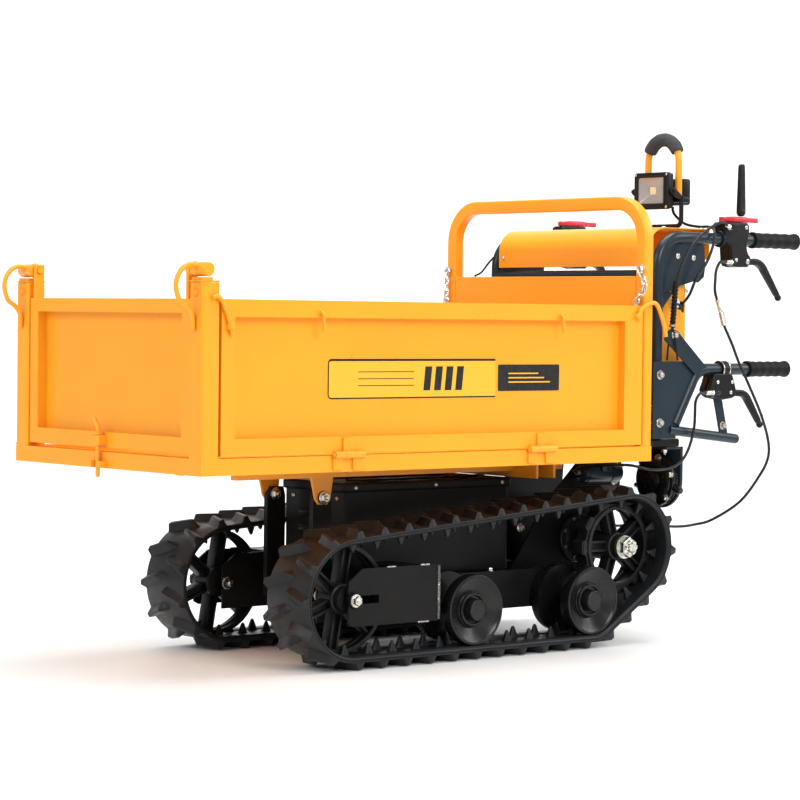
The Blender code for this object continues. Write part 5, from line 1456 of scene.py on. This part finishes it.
build_drive_lever()
build_tip_lever_housing()
flat_lever("tip_squeeze_lever", "tip_lever", LOWER_Y,
           [(TIP_PIVOT[0], LOWER_Y, TIP_PIVOT[1]), (-0.671, LOWER_Y, 0.505),
            (-0.7226, LOWER_Y, 0.435)], 0.03, "tip_lever")
build_cables()
build_boot()
build_plug()
build_cover_trim()
foam = build_lamp_stand()
build_lamp_head()

# ---- camera, floor and light ------------------------------------------------------------------------
EYE = Vector((3.6548, 4.2771, 0.6737))
YAW, PITCH, ROLL = math.radians(-129.9478), math.radians(-1.7366), math.radians(0.6622)
FOCAL = 122.83
forward = Vector((math.cos(PITCH) * math.cos(YAW), math.cos(PITCH) * math.sin(YAW), math.sin(PITCH)))
level = forward.cross(Vector((0, 0, 1))).normalized()
upward = level.cross(forward)
right = level * math.cos(ROLL) + upward * math.sin(ROLL)
top = upward * math.cos(ROLL) - level * math.sin(ROLL)
lens = bpy.data.cameras.new("camera")
lens.lens = FOCAL
lens.sensor_width = 36
lens.clip_end = 60
camera = bpy.data.objects.new("camera", lens)
camera.matrix_world = Matrix.Translation(EYE) @ Matrix((right, top, -forward)).transposed().to_4x4()
bpy.context.scene.collection.objects.link(camera)
bpy.context.scene.camera = camera


def build_stage():
    """Pale floor that curves up into a backdrop behind the object."""
    away = Vector((forward.x, forward.y, 0)).normalized()
    across = Vector((-away.y, away.x, 0))
    half_width, near, wall, curve, height = 9.0, 9.0, 3.2, 2.0, 8.0
    profile = [(-near, 0.0), (wall, 0.0)]
    for i in range(1, 17):
        a = math.pi / 2 * i / 16
        profile.append((wall + curve * math.sin(a), curve - curve * math.cos(a)))
    profile.append((wall + curve, height))
    mesh = bpy.data.meshes.new("studio_floor")
    verts = []
    for reach, rise in profile:
        for half in (-half_width, half_width):
            verts.append(away * reach + across * half + Vector((0, 0, rise)))
    faces = [(2 * i, 2 * i + 1, 2 * i + 3, 2 * i + 2) for i in range(len(profile) - 1)]
    mesh.from_pydata(verts, [], faces)
    mesh.shade_smooth()
    look("floor", (0.9, 0.9, 0.89), 0.55, mottle=0.02, mottle_scale=1.3, grain_scale=90.0,
         grain=0.04, specular=0.3)
    mesh.materials.append(LOOKS["floor"])
    obj = bpy.data.objects.new("studio_floor", mesh)
    bpy.context.scene.collection.objects.link(obj)


def area_light(name, at, aim, size, power, colour=(1, 1, 1)):
    """A soft rectangular light at a place, turned to a point."""
    data = bpy.data.lights.new(name, "AREA")
    data.shape = "RECTANGLE"
    data.size, data.size_y = size
    data.energy = power
    data.color = colour
    obj = bpy.data.objects.new(name, data)
    obj.location = at
    obj.rotation_euler = (Vector(aim) - Vector(at)).to_track_quat("-Z", "Y").to_euler()
    bpy.context.scene.collection.objects.link(obj)


build_stage()
area_light("key", (0.6, 4.4, 3.0), (0, 0, 0.4), (2.2, 2.0), 112.0, (1.0, 0.985, 0.96))
area_light("fill", (3.8, -0.3, 2.7), (-0.2, 0, 0.6), (2.4, 2.0), 60.0, (0.98, 0.99, 1.0))
area_light("top", (-0.4, 0.2, 3.6), (0, 0, 0), (3.0, 2.2), 78.0)
area_light("back", (-3.0, 1.8, 2.2), (0, 0, 0.6), (1.8, 1.8), 40.0)
area_light("backdrop", (-0.6, -0.8, 3.2), (-3.0, -3.6, 1.0), (2.4, 1.6), 110.0)
bpy.context.scene.view_settings.view_transform = "Standard"
world = bpy.data.worlds.new("studio")
bpy.context.scene.world = world
world.use_nodes = True
world.node_tree.nodes["Background"].inputs["Color"].default_value = (0.95, 0.97, 1.0, 1)
world.node_tree.nodes["Background"].inputs["Strength"].default_value = 0.55
